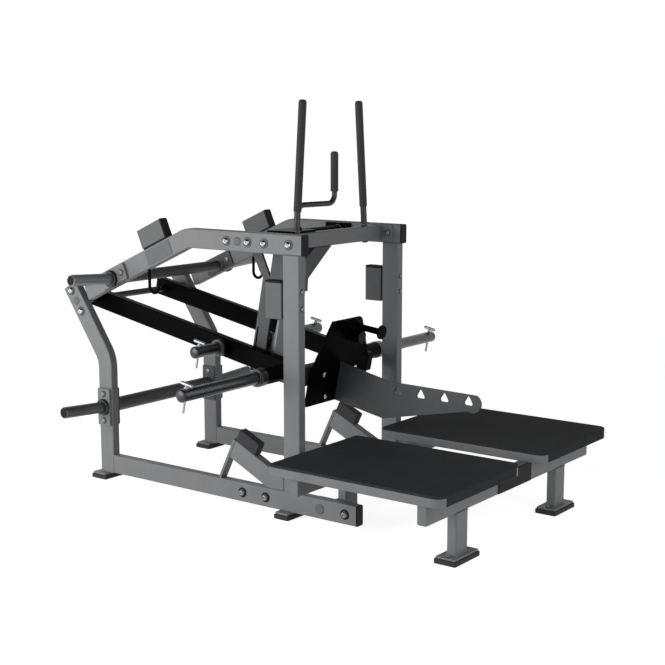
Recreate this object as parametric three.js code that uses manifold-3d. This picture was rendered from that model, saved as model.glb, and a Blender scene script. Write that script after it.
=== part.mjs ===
// Belt squat machine: two 80 x 40 side frames, a pair of standing decks, and a lever of two
// black arms that swings on an axle at the rear legs and carries the belt plate in front.
// Millimetres, +Z up. X is across the machine, -Y is the side where the person stands.
// The shapes are drawn with Y = 0 on the posts' front face and moved to the origin at the end.
import * as THREE from 'three';
import { mergeVertices } from 'three/addons/utils/BufferGeometryUtils.js';
import Module from 'manifold-3d';

// Stock and clearances
const tubeWide = 80;
const tubeThin = 40;
const tubeWall = 3;
const tubeEdge = 3.5;
const crossHigh = 60;
const plateThick = 8;
const endPlug = 6;
const capInset = 1;
const gap = 0.3;
const overrun = 5;
const weldTolerance = 0.001;

// Side frames
const frameHalf = 335;
const topHeight = 1115;
const beamNose = 17;
const beamBendY = 576;
const beamSlopeDeg = 23.9;
const beamBendRadius = 120;
const pivotY = 1233;
const pivotDrop = 348;
const legLeanDeg = 55.5;
const legFootY = 1068;
const legBendRadius = 130;
const legAbovePivot = 80;
const railNose = 274;
const railBoltRear = 292;
const railBoltFront = 172;
const bendSteps = 8;

// Feet
const padThick = 18;
const footPlate = 8;
const rearPadX = 112;
const rearPadY = 87;
const frontPadX = 107;
const frontPadY = 74;
const frontPadAt = 70;
const deckPadX = 173;
const deckPadY = 92;
const padMargin = 6;

// Fasteners
const boltRadius = 20;
const boltHigh = 10;
const boltSink = 2;
const smallBoltRadius = 11;
const smallBoltHigh = 6;
const plugRadius = 17;
const plugHigh = 3;

// Stop blocks
const blockLong = 150;
const blockHigh = 86;
const blockEdge = 4;
const blockSeam = 6;
const blockSeamInset = 3;
const topBlockY = 754;
const postBlockDrop = 330;

// Hooks under the beams
const hookRod = 13;
const hookStemY = 806;
const hookDrop = 72;
const hookBendRadius = 26.5;
const hookSteps = 16;

// Name plate, left bare
const nameLong = 150;
const nameHigh = 62;
const nameThick = 2;
const nameY = 731;

// Storage horns and weight horns
const hornRadius = 24.15;
const hornSides = 24;
const hornChamfer = 4;
const hornWall = 4;
const hornPlugLong = 58;
const storageReach = 235;
const storageTiltDeg = 3.5;
const storageUpperY = 1000;
const storageUpperDrop = 7;
const storageLowerZ = 317;
const storageCollar = 36;
const storageCollarLong = 22;
const storageCollarEdge = 5;
const storagePlateLong = 164;
const storagePlateWide = 72;
const storagePlateThick = 12;
const storagePlateShift = 5;
const storageBoltAt = 58;

// Bumper ramps
const rampDeg = 25.5;
const rampStartZ = 156;
const rampToBumper = 162;
const bumperLong = 112;
const bumperHigh = 54;
const bumperEdge = 5;
const rampEndPlate = 12;

// Cross tubes
const crossbeamY = 91;
const crossbeamDrop = 68;
const secondCrossY = 306;
const secondCrossRadius = 24;
const rearLowerRadius = 30.15;
const beamPlateLong = 171;
const beamPlateHigh = 70;
const secondPlateLong = 134;
const beamBoltShare = 0.37;
const secondBoltShare = 0.39;

// Handles
const handleX = 227;
const handleTopX = 185;
const handleRise = 507;
const handleRod = 13;
const gripRadius = 15.9;
const gripLong = 432;
const handleNub = 7;
const rodSides = 16;

// Release handle
const releaseX = -176;
const releaseY = 146;
const releaseRod = 11;
const releaseUnder = 53;
const releaseArmRise = 98;
const releaseBend = 34;
const releaseGripX = 32;
const releaseGripY = 120;
const releaseRise = 305;
const releaseGripLong = 160;
const bracketLong = 135;
const bracketWide = 140;
const bracketFront = 109;

// Catch tower, drawn square to the lever at rest
const restSlopeDeg = 11.06;
const towerX = -190;
const towerDeep = 40;
const towerSheet = 8;
const towerRear = 873;
const towerWide = 191;
const towerTop = 330;
const towerBottom = 70;
const slotRear = 938;
const slotWide = 50;
const slotTop = 179;
const grooveWide = 9;
const grooveHigh = 122;
const stemRear = 905;
const stemTop = 530;
const strutLow = 915;
const strutWide = 48;
const strutThick = 12;
const strutJointDrop = 105;
const strutJointY = 318;
const braceReach = 166;
const braceWide = 68;
const braceDeg = 36.8;
const catchPlateLow = 10;
const catchPlateHigh = 105;
const catchFingerRear = 953;
const catchFingerWide = 22;
const catchFingerTop = 164;

// Catch hook and its peg
const pegRadius = 8;
const pegOut = 962;
const pegDrop = 20;
const pegShort = 6;
const hookPivotOut = 924;
const hookPivotUp = 80;
const hookThick = 10;
const hookShank = 14;
const hookHub = 15;
const hookToe = 42;
const hookToeHigh = 16;
const hookPlay = 0.8;
const hookReleasedDeg = 16;
const hookBolt = 5;

// Lever
const armHalf = 217;
const armPastPivot = 59;
const armFront = 1181;
const axleRadius = 14;
const axleGap = 0.3;
const carriageThick = 10;
const carriageAhead = 6;
const crossBoltX = 105;
const crossBoltDrop = 5;
const lowBoltX = 75;
const lowBoltDrop = 102;
const carriageDrop = 130;
const carriageRise = 40;
const carriageBack = 40;
const uprightRight = 3;
const uprightFoot = 186;
const uprightRise = 206;
const uprightLeanDeg = 16.4;
const uprightCorner = 22;
const pegRodUp = 160;
const pegRodLong = 127;
const pegTiltDeg = 4.5;
const pegRodRadius = 13;
const pegDisc = 28.5;
const pegDiscThick = 9;
const drumX = -35;
const drumUp = 129;
const drumRadius = 25.5;
const drumLong = 64;
const frontHornOut = 1090;
const frontHornTip = 846;
const rearHornOut = 755;
const rearHornTip = 416;
const bossRadius = 34;
const bossTip = 382;
const rearBossTip = 262;
const collarRadius = 36;
const collarTo = 418;
const shortCollarLong = 11;

// Belt plate
const beltThick = 10;
const beltGap = 0.3;
const beltDeep = 162;
const beltTopAt = 33;
const beltStraight = 250;
const beltTipOut = 1816;
const beltTipUp = 60;
const beltTipRadius = 36;
const beltHoleFrom = 1478;
const beltHolePitch = 108;
const beltHoleUp = 0;
const beltHoleSize = 21;
const beltHoleCount = 4;

// Lock pins of the weight horns
const pinRadius = 5;
const pinInset = 31;
const pinUnder = 70;
const pinOver = 41;
const pinBarLong = 58;
const pinBarRadius = 6.5;
const pinPlay = 0.5;
const pinShoulder = 8.5;
const pinShoulderLong = 6;

// Platform
const deckTop = 304;
const deckThick = 43;
const matThick = 10;
const traySheet = 4;
const trayRib = 8;
const matLip = 7;
const matInset = 1.5;
const deckInner = 85;
const deckOuter = 643;
const deckRear = 78;
const deckFront = 821;
const deckCorner = 38;
const deckRearCorner = 14;
const cornerSteps = 5;
const frontTubeHalf = 610;
const frontTubeY = 746;
const rearTubeHalf = 591;
const rearTubeInner = 130;
const rearTubeY = 177;
const platformLegX = 376;
const stubX = 253;
const stubFlange = 180;
const coverHalf = 127;
const coverHigh = 76;
const coverThick = 3;

// Derived places
const rad = THREE.MathUtils.degToRad;
const pivotZ = topHeight - pivotDrop;
const postBlockZ = topHeight - postBlockDrop;
const crossbeamZ = topHeight - crossbeamDrop;
const strutJointZ = topHeight - strutJointDrop;
const handleTopZ = topHeight + handleRise;
const releaseFoot = topHeight - releaseUnder;
const releaseArmZ = topHeight + releaseArmRise;
const releaseTop = topHeight + releaseRise;
const railTop = padThick + footPlate + gap + tubeWide;
const railLow = padThick + footPlate + gap;
const beamZ = topHeight - tubeWide / 2;
const beamUnder = topHeight - tubeWide;
const innerFace = frameHalf - tubeThin / 2;
const outerFace = frameHalf + tubeThin / 2;
const armInner = armHalf - tubeThin / 2;
const armOuter = armHalf + tubeThin / 2;
const beamSlope = rad(beamSlopeDeg);
const legLean = rad(legLeanDeg);
const restSlope = rad(restSlopeDeg);
const ramp = rad(rampDeg);
const legBendZ = pivotZ - (pivotY - legFootY) * Math.tan(legLean);
const legTopY = pivotY + legAbovePivot * Math.cos(legLean);
const legTopZ = pivotZ + legAbovePivot * Math.sin(legLean);
const beamCentreAt = (y) => beamZ - Math.max(y - beamBendY, 0) * Math.tan(beamSlope);
const storageUpperZ = beamCentreAt(storageUpperY) - storageUpperDrop;
const upperPlateY = storageUpperY - storagePlateShift;
const deckUnder = deckTop - deckThick;
const platformTubeLow = deckUnder - gap - tubeWide;
const legCornerY = legTopY + (tubeWide / 2) * Math.sin(legLean);
const middleY = (legCornerY - deckFront) / 2;

// Materials
function paint(color, roughness, metalness) {
  return new THREE.MeshStandardMaterial({ color, roughness, metalness });
}
const greyPaint = paint('#85868a', 0.5, 0.3);
const blackPaint = paint('#141415', 0.55, 0.2);
const rubber = paint('#3a3a3c', 0.9, 0);
const mat = paint('#2e2f31', 0.95, 0);
const plateSteel = paint('#45474b', 0.5, 0.4);
const hornSteel = paint('#6e7074', 0.4, 0.6);
const chrome = paint('#d5d7da', 0.15, 1);
const plastic = paint('#1c1c1e', 0.6, 0);

// Solids: closed meshes that can be joined and cut
const wasm = await Module();
wasm.setup();

function solidOf(geometry) {
  const bare = new THREE.BufferGeometry();
  bare.setAttribute('position', geometry.getAttribute('position'));
  bare.setIndex(geometry.getIndex());
  const merged = mergeVertices(bare, weldTolerance);
  const index = merged.getIndex().array;
  const faces = [];
  for (let i = 0; i < index.length; i += 3) {
    const [a, b, c] = [index[i], index[i + 1], index[i + 2]];
    if (a !== b && b !== c && c !== a) {
      faces.push(a, b, c);
    }
  }
  return new wasm.Manifold(new wasm.Mesh({
    numProp: 3,
    vertProperties: new Float32Array(merged.getAttribute('position').array),
    triVerts: new Uint32Array(faces),
  }));
}

function geometryOf(solid) {
  const mesh = solid.getMesh();
  const geometry = new THREE.BufferGeometry();
  geometry.setAttribute('position', new THREE.BufferAttribute(new Float32Array(mesh.vertProperties), 3));
  geometry.setIndex(new THREE.BufferAttribute(new Uint32Array(mesh.triVerts), 1));
  const flat = geometry.toNonIndexed();
  flat.computeVertexNormals();
  return flat;
}

const join = (...solids) => solids.reduce((sum, next) => sum.add(next));
const cut = (body, ...tools) => tools.reduce((rest, tool) => rest.subtract(tool), body);

// A box between two corners
function box(x0, x1, y0, y1, z0, z1) {
  const geometry = new THREE.BoxGeometry(Math.abs(x1 - x0), Math.abs(y1 - y0), Math.abs(z1 - z0));
  geometry.translate((x0 + x1) / 2, (y0 + y1) / 2, (z0 + z1) / 2);
  return solidOf(geometry);
}

// An outline extruded from one place to another, with its edges chamfered
function extrude(outline, from, to, edge, basis) {
  const shape = new THREE.Shape(outline.map(([u, v]) => new THREE.Vector2(u, v)));
  const geometry = new THREE.ExtrudeGeometry(shape, {
    depth: to - from - 2 * edge,
    steps: 1,
    bevelEnabled: edge > 0,
    bevelThickness: edge,
    bevelSize: edge,
    bevelOffset: -edge,
    bevelSegments: 1,
  });
  geometry.translate(0, 0, from + edge);
  geometry.applyMatrix4(basis);
  return solidOf(geometry);
}
const axisX = new THREE.Vector3(1, 0, 0);
const axisY = new THREE.Vector3(0, 1, 0);
const axisZ = new THREE.Vector3(0, 0, 1);
const alongX = new THREE.Matrix4().makeBasis(axisY, axisZ, axisX);
const alongY = new THREE.Matrix4().makeBasis(axisZ, axisX, axisY);
const alongZ = new THREE.Matrix4().makeBasis(axisX, axisY, axisZ);
const slabX = (outline, x0, x1, edge = 0) => extrude(outline, x0, x1, edge, alongX);
const slabY = (outline, y0, y1, edge = 0) => extrude(outline.map(([x, z]) => [z, x]), y0, y1, edge, alongY);
const slabZ = (outline, z0, z1, edge = 0) => extrude(outline, z0, z1, edge, alongZ);

// A turned piece: [radius, distance] pairs from a place along a direction
function turned(profile, place, direction, sides = hornSides) {
  const points = profile.map(([radius, along]) => new THREE.Vector2(radius, along));
  const geometry = new THREE.LatheGeometry(points, sides);
  const turn = new THREE.Quaternion().setFromUnitVectors(axisY, direction.clone().normalize());
  geometry.applyQuaternion(turn);
  geometry.translate(place.x, place.y, place.z);
  return solidOf(geometry);
}
const rod = (radius, length, place, direction, sides = hornSides) =>
  turned([[0, 0], [radius, 0], [radius, length], [0, length]], place, direction, sides);
const at = (x, y, z) => new THREE.Vector3(x, y, z);

// A domed bolt head standing on a face, and a low plug
function bolt(place, direction, radius = boltRadius, high = boltHigh) {
  const profile = [
    [0, -boltSink], [radius, -boltSink], [radius, high / 4],
    [radius * 0.72, high * 0.75], [0, high],
  ];
  return turned(profile, place, direction, 12);
}
const plug = (place, direction) =>
  turned(
    [[0, -boltSink], [plugRadius, -boltSink], [plugRadius, plugHigh], [0, plugHigh]], place, direction, 12);

// Points along a path in the side plane, with rounded bends, each with its normal
function pathFrames(points, radius) {
  const frames = [];
  const add = (p, d) => frames.push({ p, n: new THREE.Vector2(-d.y, d.x) });
  const dirs = points.slice(1).map((p, i) => p.clone().sub(points[i]).normalize());
  add(points[0], dirs[0]);
  for (let i = 1; i < points.length - 1; i++) {
    const [before, after] = [dirs[i - 1], dirs[i]];
    const turn = Math.atan2(before.cross(after), before.dot(after));
    const reach = radius * Math.tan(Math.abs(turn) / 2);
    const start = points[i].clone().addScaledVector(before, -reach);
    const centre = start.clone()
      .addScaledVector(new THREE.Vector2(-before.y, before.x), Math.sign(turn) * radius);
    for (let k = 0; k <= bendSteps; k++) {
      const angle = (turn * k) / bendSteps;
      const p = start.clone().rotateAround(centre, angle);
      add(p, before.clone().rotateAround(new THREE.Vector2(), angle));
    }
  }
  add(points[points.length - 1], dirs[dirs.length - 1]);
  return frames;
}

function bandOutline(points, radius, half) {
  const frames = pathFrames(points, radius);
  const left = frames.map(({ p, n }) => p.clone().addScaledVector(n, half));
  const right = frames.map(({ p, n }) => p.clone().addScaledVector(n, -half));
  return [...right, ...left.reverse()].map((p) => [p.x, p.y]);
}

// A side-plane tube of the 80 x 40 stock along a path, open at its far end and,
// unless it is plugged, at its near end
function frameTube(x, points, radius, plugged) {
  const path = points.map(([y, z]) => new THREE.Vector2(y, z));
  const outer = slabX(bandOutline(path, radius, tubeWide / 2), x - tubeThin / 2, x + tubeThin / 2, tubeEdge);
  const core = path.map((p) => p.clone());
  const first = core[1].clone().sub(core[0]).normalize();
  const last = core[core.length - 1].clone().sub(core[core.length - 2]).normalize();
  core[0].addScaledVector(first, plugged ? endPlug : -overrun);
  core[core.length - 1].addScaledVector(last, overrun);
  const hollow = bandOutline(core, radius, tubeWide / 2 - tubeWall);
  return cut(outer, slabX(hollow, x - tubeThin / 2 + tubeWall, x + tubeThin / 2 - tubeWall));
}

// A rectangular tube across the machine with open ends
function crossTube(x0, x1, y0, y1, z0, z1) {
  const rect = (inset) => [
    [y0 + inset, z0 + inset], [y1 - inset, z0 + inset], [y1 - inset, z1 - inset], [y0 + inset, z1 - inset],
  ];
  const c = tubeEdge;
  const outline = [
    [y0 + c, z0], [y1 - c, z0], [y1, z0 + c], [y1, z1 - c],
    [y1 - c, z1], [y0 + c, z1], [y0, z1 - c], [y0, z0 + c],
  ];
  return cut(slabX(outline, x0, x1), slabX(rect(tubeWall), x0 - overrun, x1 + overrun));
}

function uprightTube(x0, x1, y0, y1, z0, z1) {
  const c = tubeEdge;
  const outline = [
    [x0 + c, y0], [x1 - c, y0], [x1, y0 + c], [x1, y1 - c],
    [x1 - c, y1], [x0 + c, y1], [x0, y1 - c], [x0, y0 + c],
  ];
  const w = tubeWall;
  return cut(slabZ(outline, z0, z1), box(x0 + w, x1 - w, y0 + w, y1 - w, z0 - overrun, z1 + overrun));
}

// A rectangle in the side plane, from a corner along a slope and square to it
function slopedRect(y, z, angle, length, height) {
  const [c, s] = [Math.cos(angle), Math.sin(angle)];
  const point = (u, v) => [y + u * c - v * s, z + u * s + v * c];
  return [point(0, 0), point(length, 0), point(length, height), point(0, height)];
}

// The same, centred on a place
function centredRect(y, z, angle, length, height) {
  const [c, s] = [Math.cos(angle), Math.sin(angle)];
  const [low, under] = [y - (length * c - height * s) / 2, z - (length * s + height * c) / 2];
  return slopedRect(low, under, angle, length, height);
}

// The scene: a root group, the lever's group at its axle, and everything named
const machine = new THREE.Group();
machine.position.y = -middleY;
const lever = new THREE.Group();
lever.position.set(0, pivotY, pivotZ);
lever.rotation.x = restSlope;
const tower = new THREE.Group();
tower.position.copy(lever.position);
tower.rotation.copy(lever.rotation);
machine.add(lever, tower);

function piece(name, solid, material, parent = machine, place = at(0, 0, 0)) {
  const mesh = new THREE.Mesh(geometryOf(solid), material.clone());
  mesh.name = name;
  mesh.position.copy(place);
  parent.add(mesh);
  return mesh;
}

const sides = [['left', -1], ['right', 1]];
const spanX = (s, a, b) => (s > 0 ? [a, b] : [-b, -a]);

// Side frames
for (const [side, s] of sides) {
  const x = s * frameHalf;
  const out = at(s, 0, 0);
  const face = s * outerFace;

  // Rear leg: straight up from its foot, then leaning back over the lever's axle
  const legPath = [[legFootY, railLow], [legFootY, legBendZ], [legTopY, legTopZ]];
  let leg = frameTube(x, legPath, legBendRadius, false);
  leg = join(
    leg,
    box(x - tubeThin / 2, x + tubeThin / 2, legFootY - tubeWide / 2 + tubeEdge,
      legFootY + tubeWide / 2 - tubeEdge, railLow + endPlug / 2, railLow + endPlug),
    box(x - rearPadX / 2 + padMargin, x + rearPadX / 2 - padMargin,
      legFootY - rearPadY / 2 + padMargin + tubeThin / 2, legFootY + rearPadY / 2 - padMargin + tubeThin / 2,
      padThick + gap, railLow + endPlug / 2 + gap),
  );
  const legPoint = (along) => at(
    face, pivotY + along * Math.cos(legLean), pivotZ + along * Math.sin(legLean));
  const boltAlong = legAbovePivot * 0.65;
  leg = join(leg, bolt(legPoint(boltAlong), out), bolt(legPoint(-boltAlong), out), plug(legPoint(0), out));
  leg = cut(leg, rod(axleRadius + axleGap, tubeThin, at(x - s * tubeThin, pivotY, pivotZ), out, rodSides));
  piece(`rear_leg_${side}`, leg, greyPaint);

  // Bottom rail with its plugged nose and the front foot's plate
  const railZ = railLow + tubeWide / 2;
  const railEnd = legFootY - tubeWide / 2 - gap;
  let rail = frameTube(x, [[-railNose, railZ], [railEnd, railZ]], 0, true);
  for (const y of [railBoltRear, railBoltFront, -rearTubeY - tubeThin]) {
    rail = join(rail, bolt(at(face, y, railZ), out));
  }
  rail = join(
    rail,
    plug(at(face, -rearTubeY + tubeWide, railZ), out),
    box(x - frontPadX / 2 + padMargin, x + frontPadX / 2 - padMargin,
      frontPadAt - frontPadY / 2 + padMargin, frontPadAt + frontPadY / 2 - padMargin,
      padThick + gap, railLow + tubeWall / 2),
  );
  piece(`bottom_rail_${side}`, rail, greyPaint);

  // Front post
  let post = frameTube(x, [[tubeWide / 2, railTop + gap], [tubeWide / 2, beamUnder - gap]], 0, false);
  for (const z of [postBlockZ + blockLong * 0.75, postBlockZ + blockLong * 0.31]) {
    post = join(post, bolt(at(x, 0, z), at(0, -1, 0), smallBoltRadius, smallBoltHigh));
  }
  piece(`front_post_${side}`, post, greyPaint);

  // Top beam: level over the post, then sloping down to the rear leg
  const past = pivotY - beamBendY;
  const beamPath = [
    [-beamNose, beamZ], [beamBendY, beamZ], [beamBendY + past, beamZ - past * Math.tan(beamSlope)],
  ];
  let beam = frameTube(x, beamPath, beamBendRadius, true);
  const legRight = slopedRect(pivotY - (tubeWide / 2 + gap) * Math.sin(legLean),
    pivotZ + (tubeWide / 2 + gap) * Math.cos(legLean), legLean - Math.PI, tubeWide * 4, tubeWide * 3);
  const pastLeg = [tubeWide * 2 * Math.cos(legLean), tubeWide * 2 * Math.sin(legLean)];
  const legAll = legRight.map(([y, z]) => [y + pastLeg[0], z + pastLeg[1]]);
  beam = cut(beam, slabX(legAll, x - tubeThin, x + tubeThin));
  const beamBolts = [
    tubeWide * 0.61, crossbeamY + tubeWide, secondCrossY - tubeWide * 0.66, secondCrossY + tubeWide * 0.69,
  ];
  for (const y of beamBolts) {
    beam = join(beam, bolt(at(face, y, beamZ), out));
  }
  beam = join(beam, plug(at(face, secondCrossY, beamZ), out));
  // J-shaped hook under the sloping part
  const stemTop = beamCentreAt(hookStemY) - tubeWide / 2;
  const hookLow = stemTop - hookDrop;
  const hookPath = new THREE.CurvePath();
  hookPath.add(new THREE.LineCurve3(at(x, hookStemY, stemTop), at(x, hookStemY, hookLow)));
  const bend = (deg) => at(x, hookStemY - hookBendRadius + hookBendRadius * Math.cos(rad(deg)),
    hookLow + hookBendRadius * Math.sin(rad(deg)));
  for (let k = 0; k < 6; k++) {
    hookPath.add(new THREE.LineCurve3(bend(-30 * k), bend(-30 * (k + 1))));
  }
  const disc = new THREE.Shape();
  disc.absarc(0, 0, hookRod / 2, 0, Math.PI * 2);
  const hookShape = new THREE.ExtrudeGeometry(
    disc, { steps: hookSteps, curveSegments: 6, extrudePath: hookPath });
  beam = join(beam, solidOf(hookShape));
  if (s < 0) {
    const plate = centredRect(nameY, beamCentreAt(nameY), -beamSlope, nameLong, nameHigh);
    beam = join(beam, slabX(plate, -outerFace - nameThick, -outerFace + nameThick / 2));
  }
  piece(`top_beam_${side}`, beam, greyPaint);

  // Stop blocks: one on the sloping beam, one behind the post
  const stopBlock = (y, z, angle) => {
    const [c, sn] = [Math.cos(angle), Math.sin(angle)];
    const seamY = y + blockSeamInset * c;
    const seam = slopedRect(seamY, z + blockSeamInset * sn, angle, blockLong - 2 * blockSeamInset,
      blockSeam + overrun);
    const body = slopedRect(y - blockSeam * sn, z + blockSeam * c, angle, blockLong, blockHigh - blockSeam);
    const half = tubeThin / 2;
    return join(
      slabX(seam, x - half + blockSeamInset, x + half - blockSeamInset),
      slabX(body, x - half, x + half, blockEdge),
    );
  };
  const topFace = beamCentreAt(topBlockY) + tubeWide / 2 / Math.cos(beamSlope) + gap;
  piece(`top_block_${side}`,
    stopBlock(
      topBlockY - (blockLong / 2) * Math.cos(beamSlope), topFace + (blockLong / 2) * Math.sin(beamSlope),
      -beamSlope), greyPaint);
  piece(`post_block_${side}`, stopBlock(tubeWide + gap, postBlockZ + blockLong, -Math.PI / 2), greyPaint);

  // Storage horns on the outer faces, in line with the round bars across the machine
  const storage = (name, y, z, plateY, plateZ, slope) => {
    const way = at(s * Math.cos(rad(storageTiltDeg)), 0, Math.sin(rad(storageTiltDeg)));
    const [x0, x1] = spanX(s, outerFace + gap, outerFace + gap + storagePlateThick);
    const root = at(face + s * (gap + storagePlateThick / 2), y, z);
    const profile = [
      [0, 0], [storageCollar, 0], [storageCollar, storageCollarLong - storageCollarEdge],
      [storageCollar - storageCollarEdge, storageCollarLong], [hornRadius, storageCollarLong],
      [hornRadius, storageReach - hornChamfer], [hornRadius - hornChamfer, storageReach], [0, storageReach],
    ];
    const bore = rod(hornRadius - hornWall, storageReach + storagePlateThick * 2 - hornPlugLong,
      root.clone().addScaledVector(way, -storagePlateThick * 2), way);
    const plate = slabX(centredRect(plateY, plateZ, slope, storagePlateLong, storagePlateWide), x0, x1);
    let horn = cut(join(plate, turned(profile, root, way)), bore);
    for (const along of [-storageBoltAt, storageBoltAt]) {
      const place = at(face + s * (gap + storagePlateThick), plateY + along * Math.cos(slope),
        plateZ + along * Math.sin(slope));
      horn = join(horn, bolt(place, out, boltRadius * 0.7));
    }
    piece(name, horn, hornSteel);
  };
  storage(`storage_horn_upper_${side}`, storageUpperY, storageUpperZ, upperPlateY, beamCentreAt(upperPlateY),
    -beamSlope);
  storage(`storage_horn_lower_${side}`, legFootY, storageLowerZ, legFootY, storageLowerZ, Math.PI / 2);

  // Bumper ramp: a tube rising from the post over the rail, closed by an end plate
  const [rc, rs] = [Math.cos(ramp), Math.sin(ramp)];
  const startY = tubeWide + gap;
  const startZ = rampStartZ;
  const floorZ = railTop + gap;
  const rampLong = rampToBumper + bumperLong;
  const onTop = (u, v) => [startY + u * rc - v * rs, startZ + u * rs + v * rc];
  const lowMeet = (v) => (startZ + v * rc - floorZ) / rs;
  const rampOutline = [
    [startY, floorZ], onTop(-lowMeet(-tubeWide), -tubeWide), onTop(rampLong, -tubeWide),
    onTop(rampLong, 0), onTop(0, 0),
  ];
  const w = tubeWall;
  const hollowMeet = (startZ - (tubeWide - w) * rc - floorZ + overrun) / rs;
  const rampHollow = [
    [startY + w, floorZ - overrun], onTop(-hollowMeet, -tubeWide + w), onTop(rampLong - w, -tubeWide + w),
    onTop(rampLong - w, -w), [startY + w, startZ + w * Math.tan(ramp) - w / rc],
  ];
  const endDown = (startZ + rampLong * rs - floorZ) / rc;
  const endPlate = [
    onTop(rampLong - gap, 0), [onTop(rampLong, -endDown)[0], floorZ],
    [onTop(rampLong, -endDown)[0] + rampEndPlate / rc, floorZ], onTop(rampLong + rampEndPlate, 0),
  ];
  const half = tubeThin / 2;
  const bracket = join(
    cut(slabX(rampOutline, x - half, x + half), slabX(rampHollow, x - half + w, x + half - w)),
    slabX(endPlate, x - half, x + half),
  );
  piece(`bumper_ramp_${side}`, bracket, greyPaint);
  const [by, bz] = onTop(rampToBumper, gap);
  const bumperBody = slabX(
    slopedRect(by, bz, ramp, bumperLong, bumperHigh), x - half, x + half, bumperEdge);
  piece(`bumper_${side}`, bumperBody, rubber);

  // Upright handle: a rod through the crossbeam with a long grip
  const rise = at(s * (handleTopX - handleX), 0, handleTopZ - topHeight);
  const handleLong = rise.length();
  const way = rise.clone().normalize();
  const foot = at(s * handleX, crossbeamY + tubeThin / 2, topHeight);
  const below = (topHeight - crossbeamZ + handleNub) / way.z;
  const low = foot.clone().addScaledVector(way, -below);
  const full = handleLong + below;
  const handle = turned([
    [0, 0], [handleRod, 0], [handleRod, full - gripLong], [gripRadius, full - gripLong],
    [gripRadius, full - gripRadius / 2], [gripRadius * 0.75, full - gripRadius * 0.14], [0, full],
  ], low, way, rodSides);
  piece(`handle_${side}`, handle, rubber);
}

// Feet
for (const [side, s] of sides) {
  const pad = (name, x, y, wide, deep) => {
    piece(name, slabZ([
      [x - wide / 2, y - deep / 2], [x + wide / 2, y - deep / 2],
      [x + wide / 2, y + deep / 2], [x - wide / 2, y + deep / 2],
    ], 0, padThick, padMargin / 2), rubber);
  };
  pad(`rear_foot_${side}`, s * frameHalf, legFootY + tubeThin / 2, rearPadX, rearPadY);
  pad(`front_foot_${side}`, s * frameHalf, frontPadAt, frontPadX, frontPadY);
  pad(`deck_foot_${side}`, s * platformLegX, -frontTubeY + tubeThin / 2, deckPadX, deckPadY);
}

// Cross tube between the front posts' tops, with bolted end plates, open for the handles' rods
const crossY = crossbeamY + tubeThin / 2;
{
  const reach = innerFace - gap;
  const z = crossbeamZ + crossHigh / 2;
  const w = tubeWall;
  let tube = crossTube(-reach + plateThick / 2, reach - plateThick / 2, crossbeamY, crossbeamY + tubeThin,
    crossbeamZ, crossbeamZ + crossHigh);
  for (const s of [-1, 1]) {
    const [x0, x1] = spanX(s, reach - plateThick, reach);
    const plate = slabX(centredRect(crossY, z, 0, beamPlateLong, beamPlateHigh), x0, x1);
    const mouth = box(x0 - overrun, x1 + overrun, crossbeamY + w, crossbeamY + tubeThin - w, crossbeamZ + w,
      crossbeamZ + crossHigh - w);
    tube = join(tube, cut(plate, mouth));
    for (const k of [-1, 1]) {
      const place = at(s * (reach - plateThick), crossY + k * beamPlateLong * beamBoltShare, z);
      tube = join(tube, bolt(place, at(-s, 0, 0), smallBoltRadius, smallBoltHigh));
    }
  }
  const handleHoles = sides.map(([, s]) => {
    const way = at(s * (handleTopX - handleX), 0, handleTopZ - topHeight).normalize();
    const start = at(s * handleX, crossY, topHeight).addScaledVector(way, -tubeWide * 1.5);
    return rod(handleRod + gap, tubeWide * 2, start, way, rodSides);
  });
  piece('front_crossbeam', cut(tube, ...handleHoles), greyPaint);
}

// Round bars across the machine, each with bolted end plates
function roundMember(name, radius, y, z, plate, plateLong, plateHigh, slope, boltAt, material) {
  const reach = innerFace - gap;
  let bar = rod(radius, 2 * reach, at(-reach, y, z), axisX);
  for (const s of [-1, 1]) {
    const [x0, x1] = spanX(s, reach - plateThick, reach);
    bar = join(bar, slabX(centredRect(plate[0], plate[1], slope, plateLong, plateHigh), x0, x1));
    for (const along of [-boltAt, boltAt]) {
      const place = at(s * (reach - plateThick), plate[0] + along * Math.cos(slope),
        plate[1] + along * Math.sin(slope));
      bar = join(bar, bolt(place, at(-s, 0, 0), smallBoltRadius, smallBoltHigh));
    }
  }
  piece(name, bar, material);
}
roundMember(
  'second_cross_bar', secondCrossRadius, secondCrossY, beamZ, [secondCrossY, beamZ], secondPlateLong,
  beamPlateHigh, 0, secondPlateLong * secondBoltShare, blackPaint);
roundMember(
  'rear_upper_bar', hornRadius, storageUpperY, storageUpperZ, [upperPlateY, beamCentreAt(upperPlateY)],
  storagePlateLong, storagePlateWide, -beamSlope, storageBoltAt, greyPaint);
roundMember('rear_lower_bar', rearLowerRadius, legFootY, storageLowerZ, [legFootY, storageLowerZ],
  storagePlateLong, storagePlateWide, Math.PI / 2, storageBoltAt, greyPaint);

// Axle of the lever, held in the rear legs
const axleHalf = outerFace - tubeWall - gap;
piece('pivot_axle', rod(axleRadius, 2 * axleHalf, at(-axleHalf, pivotY, pivotZ), axisX, rodSides), hornSteel);

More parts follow.
